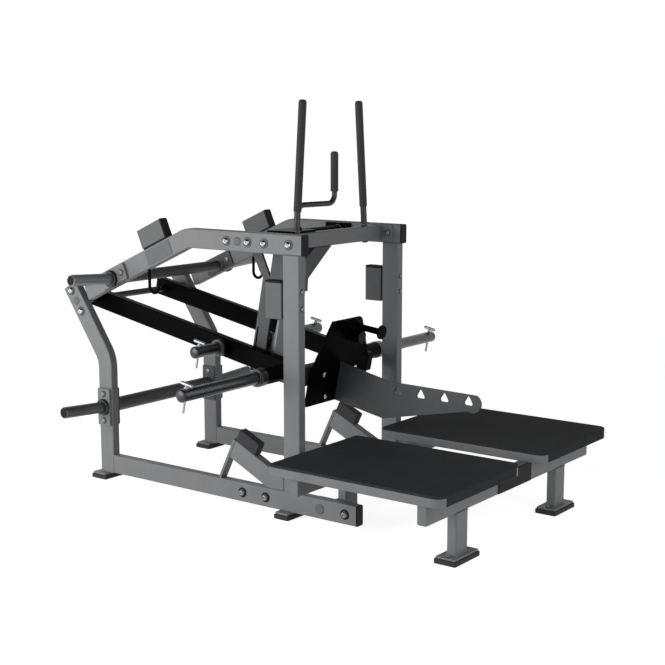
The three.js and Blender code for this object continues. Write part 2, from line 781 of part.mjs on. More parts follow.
// Bracket plate on the crossbeam, which guides the release handle's shaft
{
  const z0 = crossbeamZ + crossHigh + gap;
  const way = at(-(handleTopX - handleX), 0, handleTopZ - topHeight).normalize();
  const holeFoot = at(-handleX, crossY, topHeight).addScaledVector(way, -tubeWide);
  const hole = rod(handleRod + gap, tubeWide * 2, holeFoot, way, rodSides);
  const plate = box(releaseX - bracketWide / 2, releaseX + bracketWide / 2 - gap, bracketFront,
    bracketFront + bracketLong, z0, z0 + plateThick);
  const guide = rod(
    releaseRod + releaseRod * 0.55, plateThick * 2, at(releaseX, releaseY, z0 + plateThick / 2), axisZ,
    rodSides);
  const bore = rod(
    releaseRod + gap, plateThick * 5, at(releaseX, releaseY, z0 - plateThick), axisZ, rodSides);
  piece('release_bracket', cut(join(plate, guide), hole, bore), blackPaint);
}

// Catch tower: a channel square to the resting lever, hung from the cross members
{
  const x0 = towerX;
  const x1 = towerX + towerDeep;
  const sheet = towerSheet;
  const front = -towerRear - towerWide;
  const rect = (a, b, lo, hi) => [[a, lo], [b, lo], [b, hi], [a, hi]];
  let body = join(
    slabX(rect(front, -towerRear, -towerBottom, towerTop), x0, x0 + sheet),
    slabX(rect(-towerRear - sheet, -towerRear, -towerBottom, towerTop), x0, x1),
    slabX(rect(front, front + sheet, -towerBottom, towerTop), x0, x1),
    slabX(rect(front, -towerRear, towerTop - sheet, towerTop), x0, x1),
    slabX(rect(front, -towerRear, catchPlateLow, catchPlateHigh), x1 - sheet, x1),
    slabX(
      rect(-catchFingerRear - catchFingerWide, -catchFingerRear, catchPlateLow, catchFingerTop),
      x1 - sheet, x1),
    slabX(rect(-stemRear - tubeWide, -stemRear, towerTop - sheet / 2, stemTop), x0, x1),
  );
  body = cut(
    body,
    slabX(rect(-slotRear - slotWide, -slotRear, -towerBottom - overrun, slotTop), x0 - overrun,
      x0 + sheet + overrun),
    slabX(rect(-towerRear - sheet - grooveWide, -towerRear - sheet, -towerBottom - overrun, grooveHigh),
      x0 - overrun, x0 + sheet + overrun),
    slabX(rect(-stemRear - tubeWide + tubeWall, -stemRear - tubeWall, towerTop + sheet, stemTop + overrun),
      x0 + tubeWall, x1 - tubeWall),
  );
  body = join(body, rod(hookBolt, towerDeep, at(x0, -hookPivotOut, hookPivotUp), axisX, 12));
  // into the frame's own directions, to meet the level members
  const upright = body.rotate([restSlopeDeg, 0, 0]).translate([0, pivotY, pivotZ]);
  const toFrame = (u, v) => [
    pivotY + u * Math.cos(restSlope) - v * Math.sin(restSlope),
    pivotZ + u * Math.sin(restSlope) + v * Math.cos(restSlope),
  ];
  const frontTop = toFrame(front, towerTop);
  const braceTop = crossbeamZ - gap;
  const braceRight = x1 + braceReach - towerDeep;
  const slope = Math.tan(rad(braceDeg));
  const braceFoot = x0 + sheet;
  const brace = slabY([
    [x0, frontTop[1] - sheet], [braceFoot, frontTop[1] - sheet],
    [braceFoot, braceTop - (braceRight - braceFoot) * slope],
    [braceRight, braceTop], [braceRight - braceWide * Math.hypot(1, slope) / slope, braceTop],
    [x0, braceTop - (braceRight - braceWide * Math.hypot(1, slope) / slope - x0) * slope],
  ], crossbeamY, crossbeamY + tubeThin);
  const strutFoot = toFrame(-strutLow, towerTop - sheet / 2);
  const strutFootRear = toFrame(-strutLow + strutWide, towerTop - sheet / 2);
  const barRear = secondCrossY + secondCrossRadius + gap;
  const strut = slabX([
    strutFoot, strutFootRear, [strutJointY + strutWide, strutJointZ],
    [barRear + strutWide, beamZ - beamPlateHigh / 2],
    [barRear + strutWide, beamZ + secondCrossRadius], [barRear, beamZ + secondCrossRadius],
    [barRear, beamZ - secondCrossRadius - gap], [strutJointY, strutJointZ],
  ], x0, x0 + strutThick);
  const bracketLow = crossbeamZ + crossHigh;
  const overTop = box(x0 - overrun, x1 + overrun, 0, pivotY, bracketLow, bracketLow + tubeWide * 3);
  const parts = join(cut(upright, overTop), brace, strut);
  piece('catch_tower', parts, greyPaint);
}

// Platform: front tube on two legs, rear tubes carried from the rails, and two decks
const tubeTop = platformTubeLow + tubeWide;
const endCap = (s, half, y) => {
  const [x0, x1] = spanX(s, half - endPlug, half - capInset);
  const w = tubeWall / 2;
  return box(x0, x1, y + w, y + tubeThin - w, platformTubeLow + w, tubeTop - w);
};
const legMouths = sides.map(([, s]) => {
  const [x0, x1] = spanX(s, platformLegX - tubeWide / 4, platformLegX + tubeWide / 4);
  return box(x0, x1, -frontTubeY + tubeThin / 4, -frontTubeY + tubeThin * 0.75, platformTubeLow - overrun,
    platformTubeLow + tubeWall + overrun);
});
const frontTube = join(
  crossTube(-frontTubeHalf, frontTubeHalf, -frontTubeY, -frontTubeY + tubeThin, platformTubeLow, tubeTop),
  endCap(-1, frontTubeHalf, -frontTubeY), endCap(1, frontTubeHalf, -frontTubeY),
);
piece('platform_front_tube', cut(frontTube, ...legMouths), greyPaint);
piece('centre_cover', box(-coverHalf, coverHalf, -frontTubeY - gap - coverThick, -frontTubeY - gap,
  platformTubeLow + (tubeWide - coverHigh) / 2, platformTubeLow + (tubeWide + coverHigh) / 2), plastic);
for (const [side, s] of sides) {
  const legX = s * platformLegX;
  const legMid = -frontTubeY + tubeThin / 2;
  const leg = join(
    uprightTube(legX - tubeWide / 2, legX + tubeWide / 2, legMid - tubeThin / 2, legMid + tubeThin / 2,
      railLow - footPlate / 2, platformTubeLow - gap),
    box(legX - deckPadX / 2 + padMargin, legX + deckPadX / 2 - padMargin, legMid - deckPadY / 2 + padMargin,
      legMid + deckPadY / 2 - padMargin, padThick + gap, railLow),
  );
  piece(`platform_leg_${side}`, leg, greyPaint);

  const [a, b] = spanX(s, rearTubeInner, rearTubeHalf);
  const rearLow = platformTubeLow;
  const tube = crossTube(a, b, -rearTubeY, -rearTubeY + tubeThin, rearLow, rearLow + tubeWide);
  const [p, q] = spanX(s, stubX - tubeWide / 2, stubX + tubeWide / 2);
  const stub = uprightTube(p, q, -rearTubeY, -rearTubeY + tubeThin, railLow, rearLow + tubeWall / 2);
  const [f, g] = spanX(s, stubX + tubeWide / 2 - tubeWall / 2, innerFace - gap);
  const neck = box(f, g, -rearTubeY, -rearTubeY + tubeThin, railLow + tubeEdge, railTop - tubeEdge);
  const [h, i] = spanX(s, innerFace - gap - plateThick, innerFace - gap);
  const stubMiddle = -rearTubeY + tubeThin / 2;
  const flange = box(h, i, stubMiddle - stubFlange / 2, stubMiddle + stubFlange / 2,
    railLow + tubeEdge, railTop - tubeEdge);
  const rearArm = join(tube, endCap(s, rearTubeHalf, -rearTubeY), stub, neck, flange);
  piece(`platform_rear_arm_${side}`, rearArm, greyPaint);

  // Deck tray with rounded corners, and its rubber mat that laps over the front edge
  const [u, v] = spanX(s, deckInner, deckOuter);
  const rounded = (inset) => {
    const points = [];
    const [r, f] = [deckRearCorner, deckCorner];
    const corners = [
      [v - r, -deckRear - r, r, 0], [u + r, -deckRear - r, r, 90], [u + f, -deckFront + f, f, 180],
      [v - f, -deckFront + f, f, 270],
    ];
    for (const [cx, cy, radius, start] of corners) {
      for (let k = 0; k <= cornerSteps; k++) {
        const angle = rad(start + (90 * k) / cornerSteps);
        points.push([cx + (radius - inset) * Math.cos(angle), cy + (radius - inset) * Math.sin(angle)]);
      }
    }
    return points;
  };
  const matLow = deckTop - matThick;
  const lipBox = (grow) => box(
    u + deckCorner - grow, v - deckCorner + grow,
    -deckFront - overrun * (grow > 0 ? 1 : 0), -deckFront + matLip + grow,
    deckUnder + tubeEdge - (grow > 0 ? overrun * 2 : 0), matLow + tubeEdge);
  const pocket = box(u + traySheet, v - traySheet, -frontTubeY + tubeThin + trayRib, -rearTubeY - trayRib,
    deckUnder - overrun, matLow - gap - traySheet);
  piece(`deck_tray_${side}`, cut(slabZ(rounded(0), deckUnder, matLow - gap), lipBox(gap), pocket), greyPaint);
  const sheet = slabZ(rounded(matInset), matLow, deckTop, tubeEdge / 2);
  piece(`deck_mat_${side}`, join(sheet, lipBox(0)), mat);
}

// Lever arms, drawn level in the lever's own directions
for (const [side, s] of sides) {
  const [x0, x1] = spanX(s, armInner, armOuter);
  const half = tubeWide / 2;
  const outline = [[-armFront, -half], [armPastPivot, -half], [armPastPivot, half], [-armFront, half]];
  const inset = half - tubeWall;
  const hollow = [
    [-armFront - overrun, -inset], [armPastPivot + overrun, -inset], [armPastPivot + overrun, inset],
    [-armFront - overrun, inset],
  ];
  let arm = cut(slabX(outline, x0, x1, tubeEdge), slabX(hollow, x0 + tubeWall, x1 - tubeWall));
  const sleeve = rod(axleRadius + tubeWall * 2, tubeThin, at(x0, 0, 0), axisX, rodSides);
  arm = join(arm, sleeve);
  const bosses = [[frontHornOut, bossRadius, bossTip], [rearHornOut, collarRadius, rearBossTip]];
  for (const [out, radius, tip] of bosses) {
    const [foot, floor] = [armOuter - tubeWall / 2, armOuter + endPlug];
    const boss = rod(radius, tip - foot, at(s * foot, -out, 0), at(s, 0, 0));
    arm = join(arm, cut(boss, rod(hornRadius, tip - floor + overrun, at(s * floor, -out, 0), at(s, 0, 0))));
  }
  arm = cut(arm, rod(axleRadius + axleGap, tubeThin * 2, at(x0 - tubeThin / 2, 0, 0), axisX, rodSides));
  piece(`arm_${side}`, arm, blackPaint, lever);

  // Weight horns: a long one in front and a short one behind it
  const horn = (name, out, tip, start, profileOf) => {
    const pinAt = tip - pinInset;
    const hornBody = turned(profileOf(start), at(0, 0, 0), at(s, 0, 0));
    const hole = rod(pinRadius + pinPlay, hornRadius * 4, at(s * pinAt, 0, -hornRadius * 2), axisZ, 12);
    const boreFrom = start - overrun;
    const bore = rod(
      hornRadius - hornWall, tip - hornPlugLong - boreFrom, at(s * boreFrom, 0, 0), at(s, 0, 0));
    piece(name, cut(hornBody, hole, bore), hornSteel, lever, at(0, -out, 0));
    // T-handled lock pin that drops through the tip
    const bar = rod(pinBarRadius, pinBarLong, at(0, -pinBarLong / 2, pinOver), axisY, 12);
    const shank = turned([
      [0, -pinUnder], [pinRadius, -pinUnder], [pinRadius, hornRadius + gap], [pinShoulder, hornRadius + gap],
      [pinShoulder, hornRadius + gap + pinShoulderLong], [pinRadius, hornRadius + gap + pinShoulderLong],
      [pinRadius, pinOver], [0, pinOver],
    ], at(0, 0, 0), axisZ, 12);
    piece(name.replace('horn', 'pin'), join(bar, shank), chrome, lever, at(s * pinAt, -out, 0));
  };
  horn(`weight_horn_front_${side}`, frontHornOut, frontHornTip, bossTip + gap, (start) => [
    [0, start], [collarRadius, start], [collarRadius, collarTo], [hornRadius, collarTo],
    [hornRadius, frontHornTip - hornChamfer], [hornRadius - hornChamfer, frontHornTip], [0, frontHornTip],
  ]);
  horn(`weight_horn_rear_${side}`, rearHornOut, rearHornTip, rearBossTip + gap, (start) => [
    [0, start], [collarRadius, start], [collarRadius, start + shortCollarLong],
    [hornRadius, start + shortCollarLong],
    [hornRadius, rearHornTip - hornChamfer], [hornRadius - hornChamfer, rearHornTip], [0, rearHornTip],
  ]);
}

// Peg on the near arm, which the catch hook holds
{
  const pegTip = towerX + towerDeep - towerSheet - pegShort;
  const pegRoot = at(gap - armInner, -pegOut, -pegDrop);
  piece('catch_peg', rod(pegRadius, pegTip - pegRoot.x, pegRoot, axisX, rodSides), hornSteel, lever);
}

// Carriage: cross plate and tube between the arms, leaning upright, peg with disc, and drum
{
  const reach = armInner - gap;
  const front = -armFront - carriageAhead;
  const crossPlate = box(-reach, reach, front, front + carriageThick, -carriageDrop, carriageRise);
  const plateBack = front + carriageThick;
  const backTube = crossTube(
    -reach, reach, plateBack - tubeWall / 2, plateBack + carriageBack,
    -tubeWide / 2, tubeWide / 2 - tubeWall);
  const lean = rad(uprightLeanDeg);
  const riseLean = uprightRise / Math.cos(lean);
  const r = uprightCorner;
  const corners = [[uprightFoot, 0], [uprightRight, riseLean], [towerX, riseLean]];
  const edge = pathFrames(corners.map(([x, z]) => new THREE.Vector2(x, z)), r).map(({ p }) => [p.x, p.y]);
  const upright = slabY([...edge, [towerX, 0]], 0, carriageThick)
    .rotate([uprightLeanDeg, 0, 0])
    .translate([0, front - plateThick / 2, carriageRise - tubeWall]);
  const faceAt = (up) => front - plateThick / 2 - (up - carriageRise) * Math.tan(lean);
  const level = at(0, -Math.cos(rad(pegTiltDeg)), Math.sin(rad(pegTiltDeg)));
  const pegUp = carriageRise + pegRodUp;
  const peg = turned([
    [0, -carriageThick / 2], [pegRodRadius, -carriageThick / 2], [pegRodRadius, pegRodLong - pegDiscThick],
    [pegDisc, pegRodLong - pegDiscThick], [pegDisc, pegRodLong], [0, pegRodLong],
  ], at(0, faceAt(pegUp) + carriageThick / 2, pegUp), level, rodSides);
  const drumZ = carriageRise + drumUp;
  const drumRoot = at(drumX, faceAt(drumZ) + carriageThick, drumZ);
  const drum = rod(drumRadius, drumLong + carriageThick, drumRoot, level, rodSides);
  let carriage = join(crossPlate, backTube, upright, peg, drum);
  for (const [x, drop] of [[crossBoltX, crossBoltDrop], [lowBoltX, lowBoltDrop]]) {
    for (const s of [-1, 1]) {
      carriage = join(carriage, bolt(at(s * x, front, -drop), at(0, -1, 0), smallBoltRadius, smallBoltHigh));
    }
  }
  piece('carriage', carriage, blackPaint, lever);
}

// Belt plate: straight behind, tapering upward to a round tip with a row of holes
{
  const back = -armFront - carriageAhead - beltGap;
  const top = beltTopAt;
  const low = beltTopAt - beltDeep;
  const bendOut = -armFront - beltStraight;
  const tip = [-beltTipOut, beltTipUp];
  const arc = [];
  for (let deg = 100; deg <= 290; deg += 19) {
    arc.push([tip[0] + beltTipRadius * Math.cos(rad(deg)), tip[1] + beltTipRadius * Math.sin(rad(deg))]);
  }
  const outline = [[back, low], [back, top], [bendOut, top - padMargin], ...arc, [bendOut, low]].reverse();
  let plate = slabX(outline, -beltThick / 2, beltThick / 2);
  for (let k = 0; k < beltHoleCount; k++) {
    const u = -beltHoleFrom - k * beltHolePitch * Math.cos(restSlope);
    const v = beltHoleUp + k * beltHolePitch * Math.sin(restSlope);
    // a rounded triangle, its point upward
    const hole = [];
    for (const [share, size] of [[90, 1], [210, 1], [330, 1]]) {
      for (const turn of [-38, 0, 38]) {
        const [c, sn] = [Math.cos(rad(share + restSlopeDeg)), Math.sin(rad(share + restSlopeDeg))];
        const r = beltHoleSize * 0.42;
        const a = rad(share + turn + restSlopeDeg);
        hole.push([
          u - (beltHoleSize - r) * c * size + r * -Math.cos(a),
          v + (beltHoleSize - r) * sn * size + r * Math.sin(a),
        ]);
      }
    }
    plate = cut(plate, slabX(hole.reverse(), -beltThick, beltThick));
  }
  piece('belt_plate', plate, plateSteel, lever);
}

// Release handle: an upright shaft in the bracket, a bent arm and a grip
{
  const group = new THREE.Group();
  group.position.set(releaseX, releaseY, 0);
  machine.add(group);
  const flat = new THREE.Vector2(releaseGripX - releaseX, releaseGripY - releaseY);
  const reach = flat.length();
  const way = flat.normalize();
  const on = (u, z) => at(u * way.x, u * way.y, z);
  const path = new THREE.CurvePath();
  const r = releaseBend;
  const points = [on(0, releaseFoot), on(0, releaseArmZ - r)];
  for (let k = 1; k <= 4; k++) {
    const a = (Math.PI / 8) * k;
    points.push(on(r - r * Math.cos(a), releaseArmZ - r + r * Math.sin(a)));
  }
  for (let k = 0; k <= 4; k++) {
    const a = (Math.PI / 8) * k;
    points.push(on(reach - r + r * Math.sin(a), releaseArmZ + r - r * Math.cos(a)));
  }
  points.push(on(reach, releaseTop - releaseGripLong / 2));
  for (let k = 0; k < points.length - 1; k++) {
    path.add(new THREE.LineCurve3(points[k], points[k + 1]));
  }
  const disc = new THREE.Shape();
  disc.absarc(0, 0, releaseRod, 0, Math.PI * 2);
  const bar = solidOf(new THREE.ExtrudeGeometry(disc, { steps: 30, curveSegments: 10, extrudePath: path }));
  const grip = turned([
    [0, 0], [gripRadius, 0], [gripRadius, releaseGripLong - gripRadius / 2],
    [gripRadius * 0.75, releaseGripLong - gripRadius * 0.14], [0, releaseGripLong],
  ], on(reach, releaseTop - releaseGripLong), axisZ, rodSides);
  piece('release_handle', join(bar, grip), rubber, group);
}

// Catch hook on its bolt in the tower, swung back clear of the peg's path
{
  const group = new THREE.Group();
  group.position.set(0, -hookPivotOut, hookPivotUp);
  group.rotation.x = rad(hookReleasedDeg);
  tower.add(group);
  const x0 = towerX + towerSheet + (towerDeep - 2 * towerSheet - hookThick) / 2;
  const drop = hookPivotUp + pegDrop + pegRadius + hookPlay;
  const half = hookShank / 2;
  const outline = [
    [-half, 0], [-half, -drop], [-hookToe, -drop], [-hookToe, -drop - hookToeHigh / 2],
    [-hookToe + hookToeHigh / 2, -drop - hookToeHigh], [half, -drop - hookToeHigh], [half, 0],
  ].reverse();
  const hook = cut(
    join(slabX(outline, x0, x0 + hookThick), rod(hookHub, hookThick, at(x0, 0, 0), axisX, rodSides)),
    rod(hookBolt + gap, hookThick * 3, at(x0 - hookThick, 0, 0), axisX, 12),
  );
  piece('catch_hook', hook, hornSteel, group);
}

export default machine;
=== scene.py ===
# Belt squat machine: two grey side frames, two standing decks, and a black lever with weight
# horns that swings on an axle at the rear and carries the belt plate between the decks.
# Drawn in millimetres from the posts' front face, and moved to the model's own origin by at().
import math

import bmesh
import bpy
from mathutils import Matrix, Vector


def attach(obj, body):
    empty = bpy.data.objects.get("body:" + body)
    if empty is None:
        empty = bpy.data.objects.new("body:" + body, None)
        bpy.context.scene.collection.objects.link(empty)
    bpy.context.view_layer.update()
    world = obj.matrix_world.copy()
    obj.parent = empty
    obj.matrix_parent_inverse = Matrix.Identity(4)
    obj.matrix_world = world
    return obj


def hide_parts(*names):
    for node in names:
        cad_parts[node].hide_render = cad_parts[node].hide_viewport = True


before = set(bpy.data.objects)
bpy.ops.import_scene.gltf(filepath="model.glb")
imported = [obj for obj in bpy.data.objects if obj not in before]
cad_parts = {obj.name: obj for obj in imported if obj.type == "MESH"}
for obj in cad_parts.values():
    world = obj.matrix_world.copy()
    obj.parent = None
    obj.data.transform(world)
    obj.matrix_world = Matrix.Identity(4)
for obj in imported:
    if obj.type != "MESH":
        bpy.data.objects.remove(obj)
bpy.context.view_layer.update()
print("model loaded:", len(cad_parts), "nodes")

machine = {
    "middle": 245.1388,      # from the posts' front face back to the origin
    "pivotY": 1233.0,        # the lever's axle
    "pivotZ": 767.0,
    "restSlope": 11.06,      # degrees that the lever hangs down in front
    "sideX": 335.0,          # middle of each side frame
    "tubeWide": 80.0,        # the tube of the frame and the lever
    "tubeThin": 40.0,
    "tubeCorner": 6.0,
    "capThick": 6.0,         # end caps of the tubes
    "gap": 0.3,              # between pieces that touch
}
gap, capThick = machine["gap"], machine["capThick"]
tubeWide, tubeThin, tubeCorner = machine["tubeWide"], machine["tubeThin"], machine["tubeCorner"]
outerFace = machine["sideX"] + tubeThin / 2           # outer face of a side frame
innerReach = machine["sideX"] - tubeThin / 2 - gap    # as far as what fits between the side frames


def at(x, y, z):
    return Vector((x, y - machine["middle"], z)) / 1000


slopeCos = math.cos(math.radians(machine["restSlope"]))
slopeSin = math.sin(math.radians(machine["restSlope"]))


def onLever(x, along, up):  # a place in the lever's own directions, from its axle
    return at(x, machine["pivotY"] + along * slopeCos - up * slopeSin,
              machine["pivotZ"] + along * slopeSin + up * slopeCos)


def across(v):  # a direction on the lever
    return Vector((v[0], v[1] * slopeCos - v[2] * slopeSin, v[1] * slopeSin + v[2] * slopeCos))


# Materials

def hexColour(text):
    parts = [int(text[i:i + 2], 16) / 255 for i in (1, 3, 5)]
    return tuple(c / 12.92 if c <= 0.04045 else ((c + 0.055) / 1.055) ** 2.4 for c in parts) + (1.0,)


def addNode(tree, kind, settings=None, links=None):
    node = tree.nodes.new(kind)
    for key, value in (settings or {}).items():
        if isinstance(key, int) or key in node.inputs:
            node.inputs[key].default_value = value
        else:
            setattr(node, key, value)
    for key, source in (links or {}).items():
        tree.links.new(source, node.inputs[key])
    return node


def perMetre(millimetres):  # pattern scale for a feature of this size
    return 1000.0 / millimetres


def newMaterial(name):
    material = bpy.data.materials.new(name)
    material.use_nodes = True
    material.node_tree.nodes.clear()
    return material, material.node_tree


def surface(name, dark, light, metallic, rough, grainMm, grainHeightMm, patchMm=90, spread=(0.35, 0.65),
            specular=0.5, pattern="noise", stretch=(1, 1, 1)):
    material, tree = newMaterial(name)
    place = addNode(tree, "ShaderNodeTexCoord").outputs["Object"]
    if stretch != (1, 1, 1):
        place = addNode(tree, "ShaderNodeMapping", {"Scale": stretch}, {"Vector": place}).outputs[0]
    patch = addNode(tree, "ShaderNodeTexNoise", {"Scale": perMetre(patchMm), "Detail": 4.0, "Roughness": 0.6},
                    {"Vector": place})
    grainKind = {"noise": "ShaderNodeTexNoise", "cells": "ShaderNodeTexVoronoi"}[pattern]
    grain = addNode(tree, grainKind, {"Scale": perMetre(grainMm)}, {"Vector": place})
    grainOut = grain.outputs["Distance" if pattern == "cells" else 0]
    mixed = addNode(tree, "ShaderNodeMath", {"operation": "MULTIPLY_ADD", 1: 0.4, 2: 0.0}, {0: grainOut})
    summed = addNode(tree, "ShaderNodeMath", {"operation": "MULTIPLY_ADD", 1: 0.6},
                     {0: patch.outputs[0], 2: mixed.outputs[0]})
    colour = addNode(tree, "ShaderNodeValToRGB", {}, {0: summed.outputs[0]})
    colour.color_ramp.elements[0].position, colour.color_ramp.elements[1].position = spread
    colour.color_ramp.elements[0].color = hexColour(dark)
    colour.color_ramp.elements[1].color = hexColour(light)
    roughness = addNode(tree, "ShaderNodeMapRange", {3: rough[0], 4: rough[1]}, {0: patch.outputs[0]})
    bump = addNode(tree, "ShaderNodeBump", {"Strength": 1.0, "Distance": grainHeightMm / 1000},
                   {"Height": grainOut})
    shader = addNode(tree, "ShaderNodeBsdfPrincipled", {"Metallic": metallic, "Specular IOR Level": specular},
                     {"Base Color": colour.outputs[0], "Roughness": roughness.outputs[0],
                      "Normal": bump.outputs[0]})
    addNode(tree, "ShaderNodeOutputMaterial", {}, {0: shader.outputs[0]})
    return material


# Polyester powder coat baked on steel: even colour, fine orange peel, broad soft highlights
greyPowderCoat = surface("greyPowderCoat", "#808183", "#8a8b8d", 0.0, (0.42, 0.56), 3.0, 0.05, specular=0.3)
# The same coat in black: a little smoother, with faint highlights
blackPowderCoat = surface("blackPowderCoat", "#040405", "#080809", 0.0, (0.34, 0.46), 3.0, 0.05,
                          specular=0.02)
# The same coat on the handles' rods, a lighter dark grey than the arms' black
rodPowderCoat = surface("rodPowderCoat", "#262628", "#2f2f31", 0.0, (0.34, 0.46), 3.0, 0.04, specular=0.4)
# Round cross bars at the rear: a dark grey coat, darkened further as painted shade for the dim light at the
# machine's rear
rearBarShadedCoat = surface("rearBarShadedCoat", "#4a4b4d", "#535456", 0.0, (0.4, 0.52), 3.0, 0.05, specular=0.3)
# The catch tower's coat: a darker grey than the frame's, nearly matt; the darkness is partly painted shade
# for the shadow under the near beam and arm
towerShadedCoat = surface("towerShadedCoat", "#4e4f51", "#57585a", 0.0, (0.45, 0.58), 3.0, 0.05,
                          specular=0.25)
# Glossy black enamel on the axle, the collars, sleeves and tips of the horns
blackEnamel = surface("blackEnamel", "#111112", "#19191a", 0.0, (0.22, 0.34), 4.0, 0.02, specular=0.5)
# Stop blocks: a textured coat, a shade darker than the frame's
blockPowderCoat = surface("blockPowderCoat", "#686a6c", "#717375", 0.0, (0.5, 0.62), 3.0, 0.06, specular=0.25)
# Bent plate with a dark satin coat, slightly uneven from rolling
beltPlateCoat = surface("beltPlateCoat", "#4a4c4e", "#545658", 0.0, (0.4, 0.55), 4.0, 0.06, specular=0.35)
# Moulded rubber: dull, with a fine sandy skin
mouldedRubber = surface("mouldedRubber", "#3a3a3c", "#444446", 0.0, (0.7, 0.85), 1.6, 0.10, specular=0.25)
# Grip sleeve of foamed rubber: closed skin with fine cells, nearly matt
gripRubber = surface("gripRubber", "#353537", "#3f3f41", 0.0, (0.6, 0.75), 2.4, 0.12, specular=0.3,
                     pattern="cells")
# Rolled rubber deck mat with a pebbled face; pebbles of 2 mm are drawn at 5 mm so that they show
deckMatRubber = surface("deckMatRubber", "#353638", "#3f4042", 0.0, (0.78, 0.95), 5.0, 0.35, specular=0.10,
                        pattern="cells")
# Drawn steel with a dark zinc finish, fine marks along the horns: weight horns, catch hook and peg
darkZincSteel = surface("darkZincSteel", "#45474a", "#5e6063", 0.85, (0.2, 0.34), 2.0, 0.03,
                        stretch=(0.12, 1, 1))
# Lower storage horns: a dark coat rubbed by weight plates
sleeveCoat = surface("sleeveCoat", "#4b4d50", "#595b5e", 0.35, (0.34, 0.48), 2.0, 0.04, stretch=(0.12, 1, 1))
# Upper storage horns: the same coat in a lighter copy, painted light for the brighter light that falls on
# them
litSleeveCoat = surface("litSleeveCoat", "#86888c", "#989a9e", 0.35, (0.3, 0.42), 2.0, 0.04,
                           stretch=(0.12, 1, 1))
# Polished chrome plate on the large bolts: mirror-like, light
chromePlate = surface("chromePlate", "#b9bbbe", "#c9cbce", 1.0, (0.12, 0.2), 6.0, 0.004)
# Zinc plate on the lock pins: satin and light
satinZincPlate = surface("satinZincPlate", "#a4a6a9", "#b6b8bb", 0.6, (0.3, 0.42), 4.0, 0.01)
# Zinc plate on the small bolts and the rail's bolts: duller and darker
dullZincPlate = surface("dullZincPlate", "#8c8e91", "#9c9ea1", 0.5, (0.38, 0.5), 4.0, 0.01)
# Oxide-dark washers and flanges
oxideSteel = surface("oxideSteel", "#3c3d3f", "#4a4b4d", 0.6, (0.4, 0.55), 1.5, 0.03)
# Injection-moulded nylon caps and plugs, satin with fine texture
mouldedNylon = surface("mouldedNylon", "#0c0c0d", "#131314", 0.0, (0.5, 0.62), 1.2, 0.05, specular=0.14)
# Grey polyethylene: the tubes' round plugs and the bare name plate
greyPlug = surface("greyPlug", "#6a6b6d", "#737476", 0.0, (0.5, 0.6), 1.2, 0.05, specular=0.3)
# Catch plate: rolled aluminium, satin, with fine marks from front to back
plateAluminium = surface("plateAluminium", "#8f9092", "#9b9c9e", 0.7, (0.35, 0.5), 1.5, 0.03,
                         stretch=(1, 0.1, 1))
print("materials made")


# Shapes

def roundedRect(wide, high, radius, steps=4):
    points = []
    inX, inY = wide / 2 - radius, high / 2 - radius
    for cx, cy, start in ((inX, inY, 0), (-inX, inY, 90), (-inX, -inY, 180), (inX, -inY, 270)):
        for k in range(steps + 1):
            a = math.radians(start + 90 * k / steps)
            points.append((cx + radius * math.cos(a), cy + radius * math.sin(a)))
    return points


def circle(radius, sides):
    return [(radius * math.cos(2 * math.pi * k / sides), radius * math.sin(2 * math.pi * k / sides))
            for k in range(sides)]


def onceRound(halfSteps):  # angles of a full turn, its first one again at the end
    return [math.pi / halfSteps * k for k in range(2 * halfSteps + 1)]


def slopeAxes(slope):  # directions along and across a slope, in a side frame's plane
    return (Vector((0, math.cos(slope), math.sin(slope))), Vector((0, -math.sin(slope), math.cos(slope))))


def slopedRect(centre, slope, wide, high, corner):
    along, lift = slopeAxes(slope)
    return [centre + (along * a + lift * b) / 1000 for a, b in roundedRect(wide, high, corner)]


def skin(bm, rings):  # faces from ring to ring, and one over each end
    count = len(rings[0])
    for one, two in zip(rings, rings[1:]):
        for k in range(count):
            bm.faces.new((one[k], one[(k + 1) % count], two[(k + 1) % count], two[k]))
    bm.faces.new(rings[0][::-1])
    bm.faces.new(rings[-1])


def sweep(bm, stations, section):  # stations: (place, direction of u, direction of v); section in mm
    skin(bm, [[bm.verts.new(p + (u * a + v * b) / 1000) for a, b in section] for p, u, v in stations])


def sideBend(points, radius, stepDeg=5.0):  # (y, z) corners to (y, z, angle) along rounded bends
    run = []
    angles = [math.atan2(b[1] - a[1], b[0] - a[0]) for a, b in zip(points, points[1:])]
    run.append((points[0][0], points[0][1], angles[0]))
    for i in range(1, len(points) - 1):
        turn = (angles[i] - angles[i - 1] + math.pi) % (2 * math.pi) - math.pi
        reach = radius * math.tan(abs(turn) / 2)
        sy = points[i][0] - reach * math.cos(angles[i - 1])
        sz = points[i][1] - reach * math.sin(angles[i - 1])
        side = math.copysign(1, turn)
        cy = sy - side * radius * math.sin(angles[i - 1])
        cz = sz + side * radius * math.cos(angles[i - 1])
        steps = max(2, round(abs(math.degrees(turn)) / stepDeg))
        for k in range(steps + 1):
            a = angles[i - 1] + turn * k / steps
            run.append((cy + side * radius * math.sin(a), cz - side * radius * math.cos(a), a))
    run.append((points[-1][0], points[-1][1], angles[-1]))
    return run


def sideTube(bm, x, points, bendRadius=0):  # in a side frame's plane
    stations = [(at(x, y, z), Vector((0, -math.sin(a), math.cos(a))), Vector((1, 0, 0)))
                for y, z, a in sideBend(points, bendRadius)]
    sweep(bm, stations, roundedRect(tubeWide, tubeThin, tubeCorner))


def straightTube(bm, start, end, up, wide=tubeWide, thin=tubeThin):
    along = (end - start).normalized()
    v = up.cross(along).normalized()
    sweep(bm, [(start, up, v), (end, up, v)], roundedRect(wide, thin, tubeCorner))


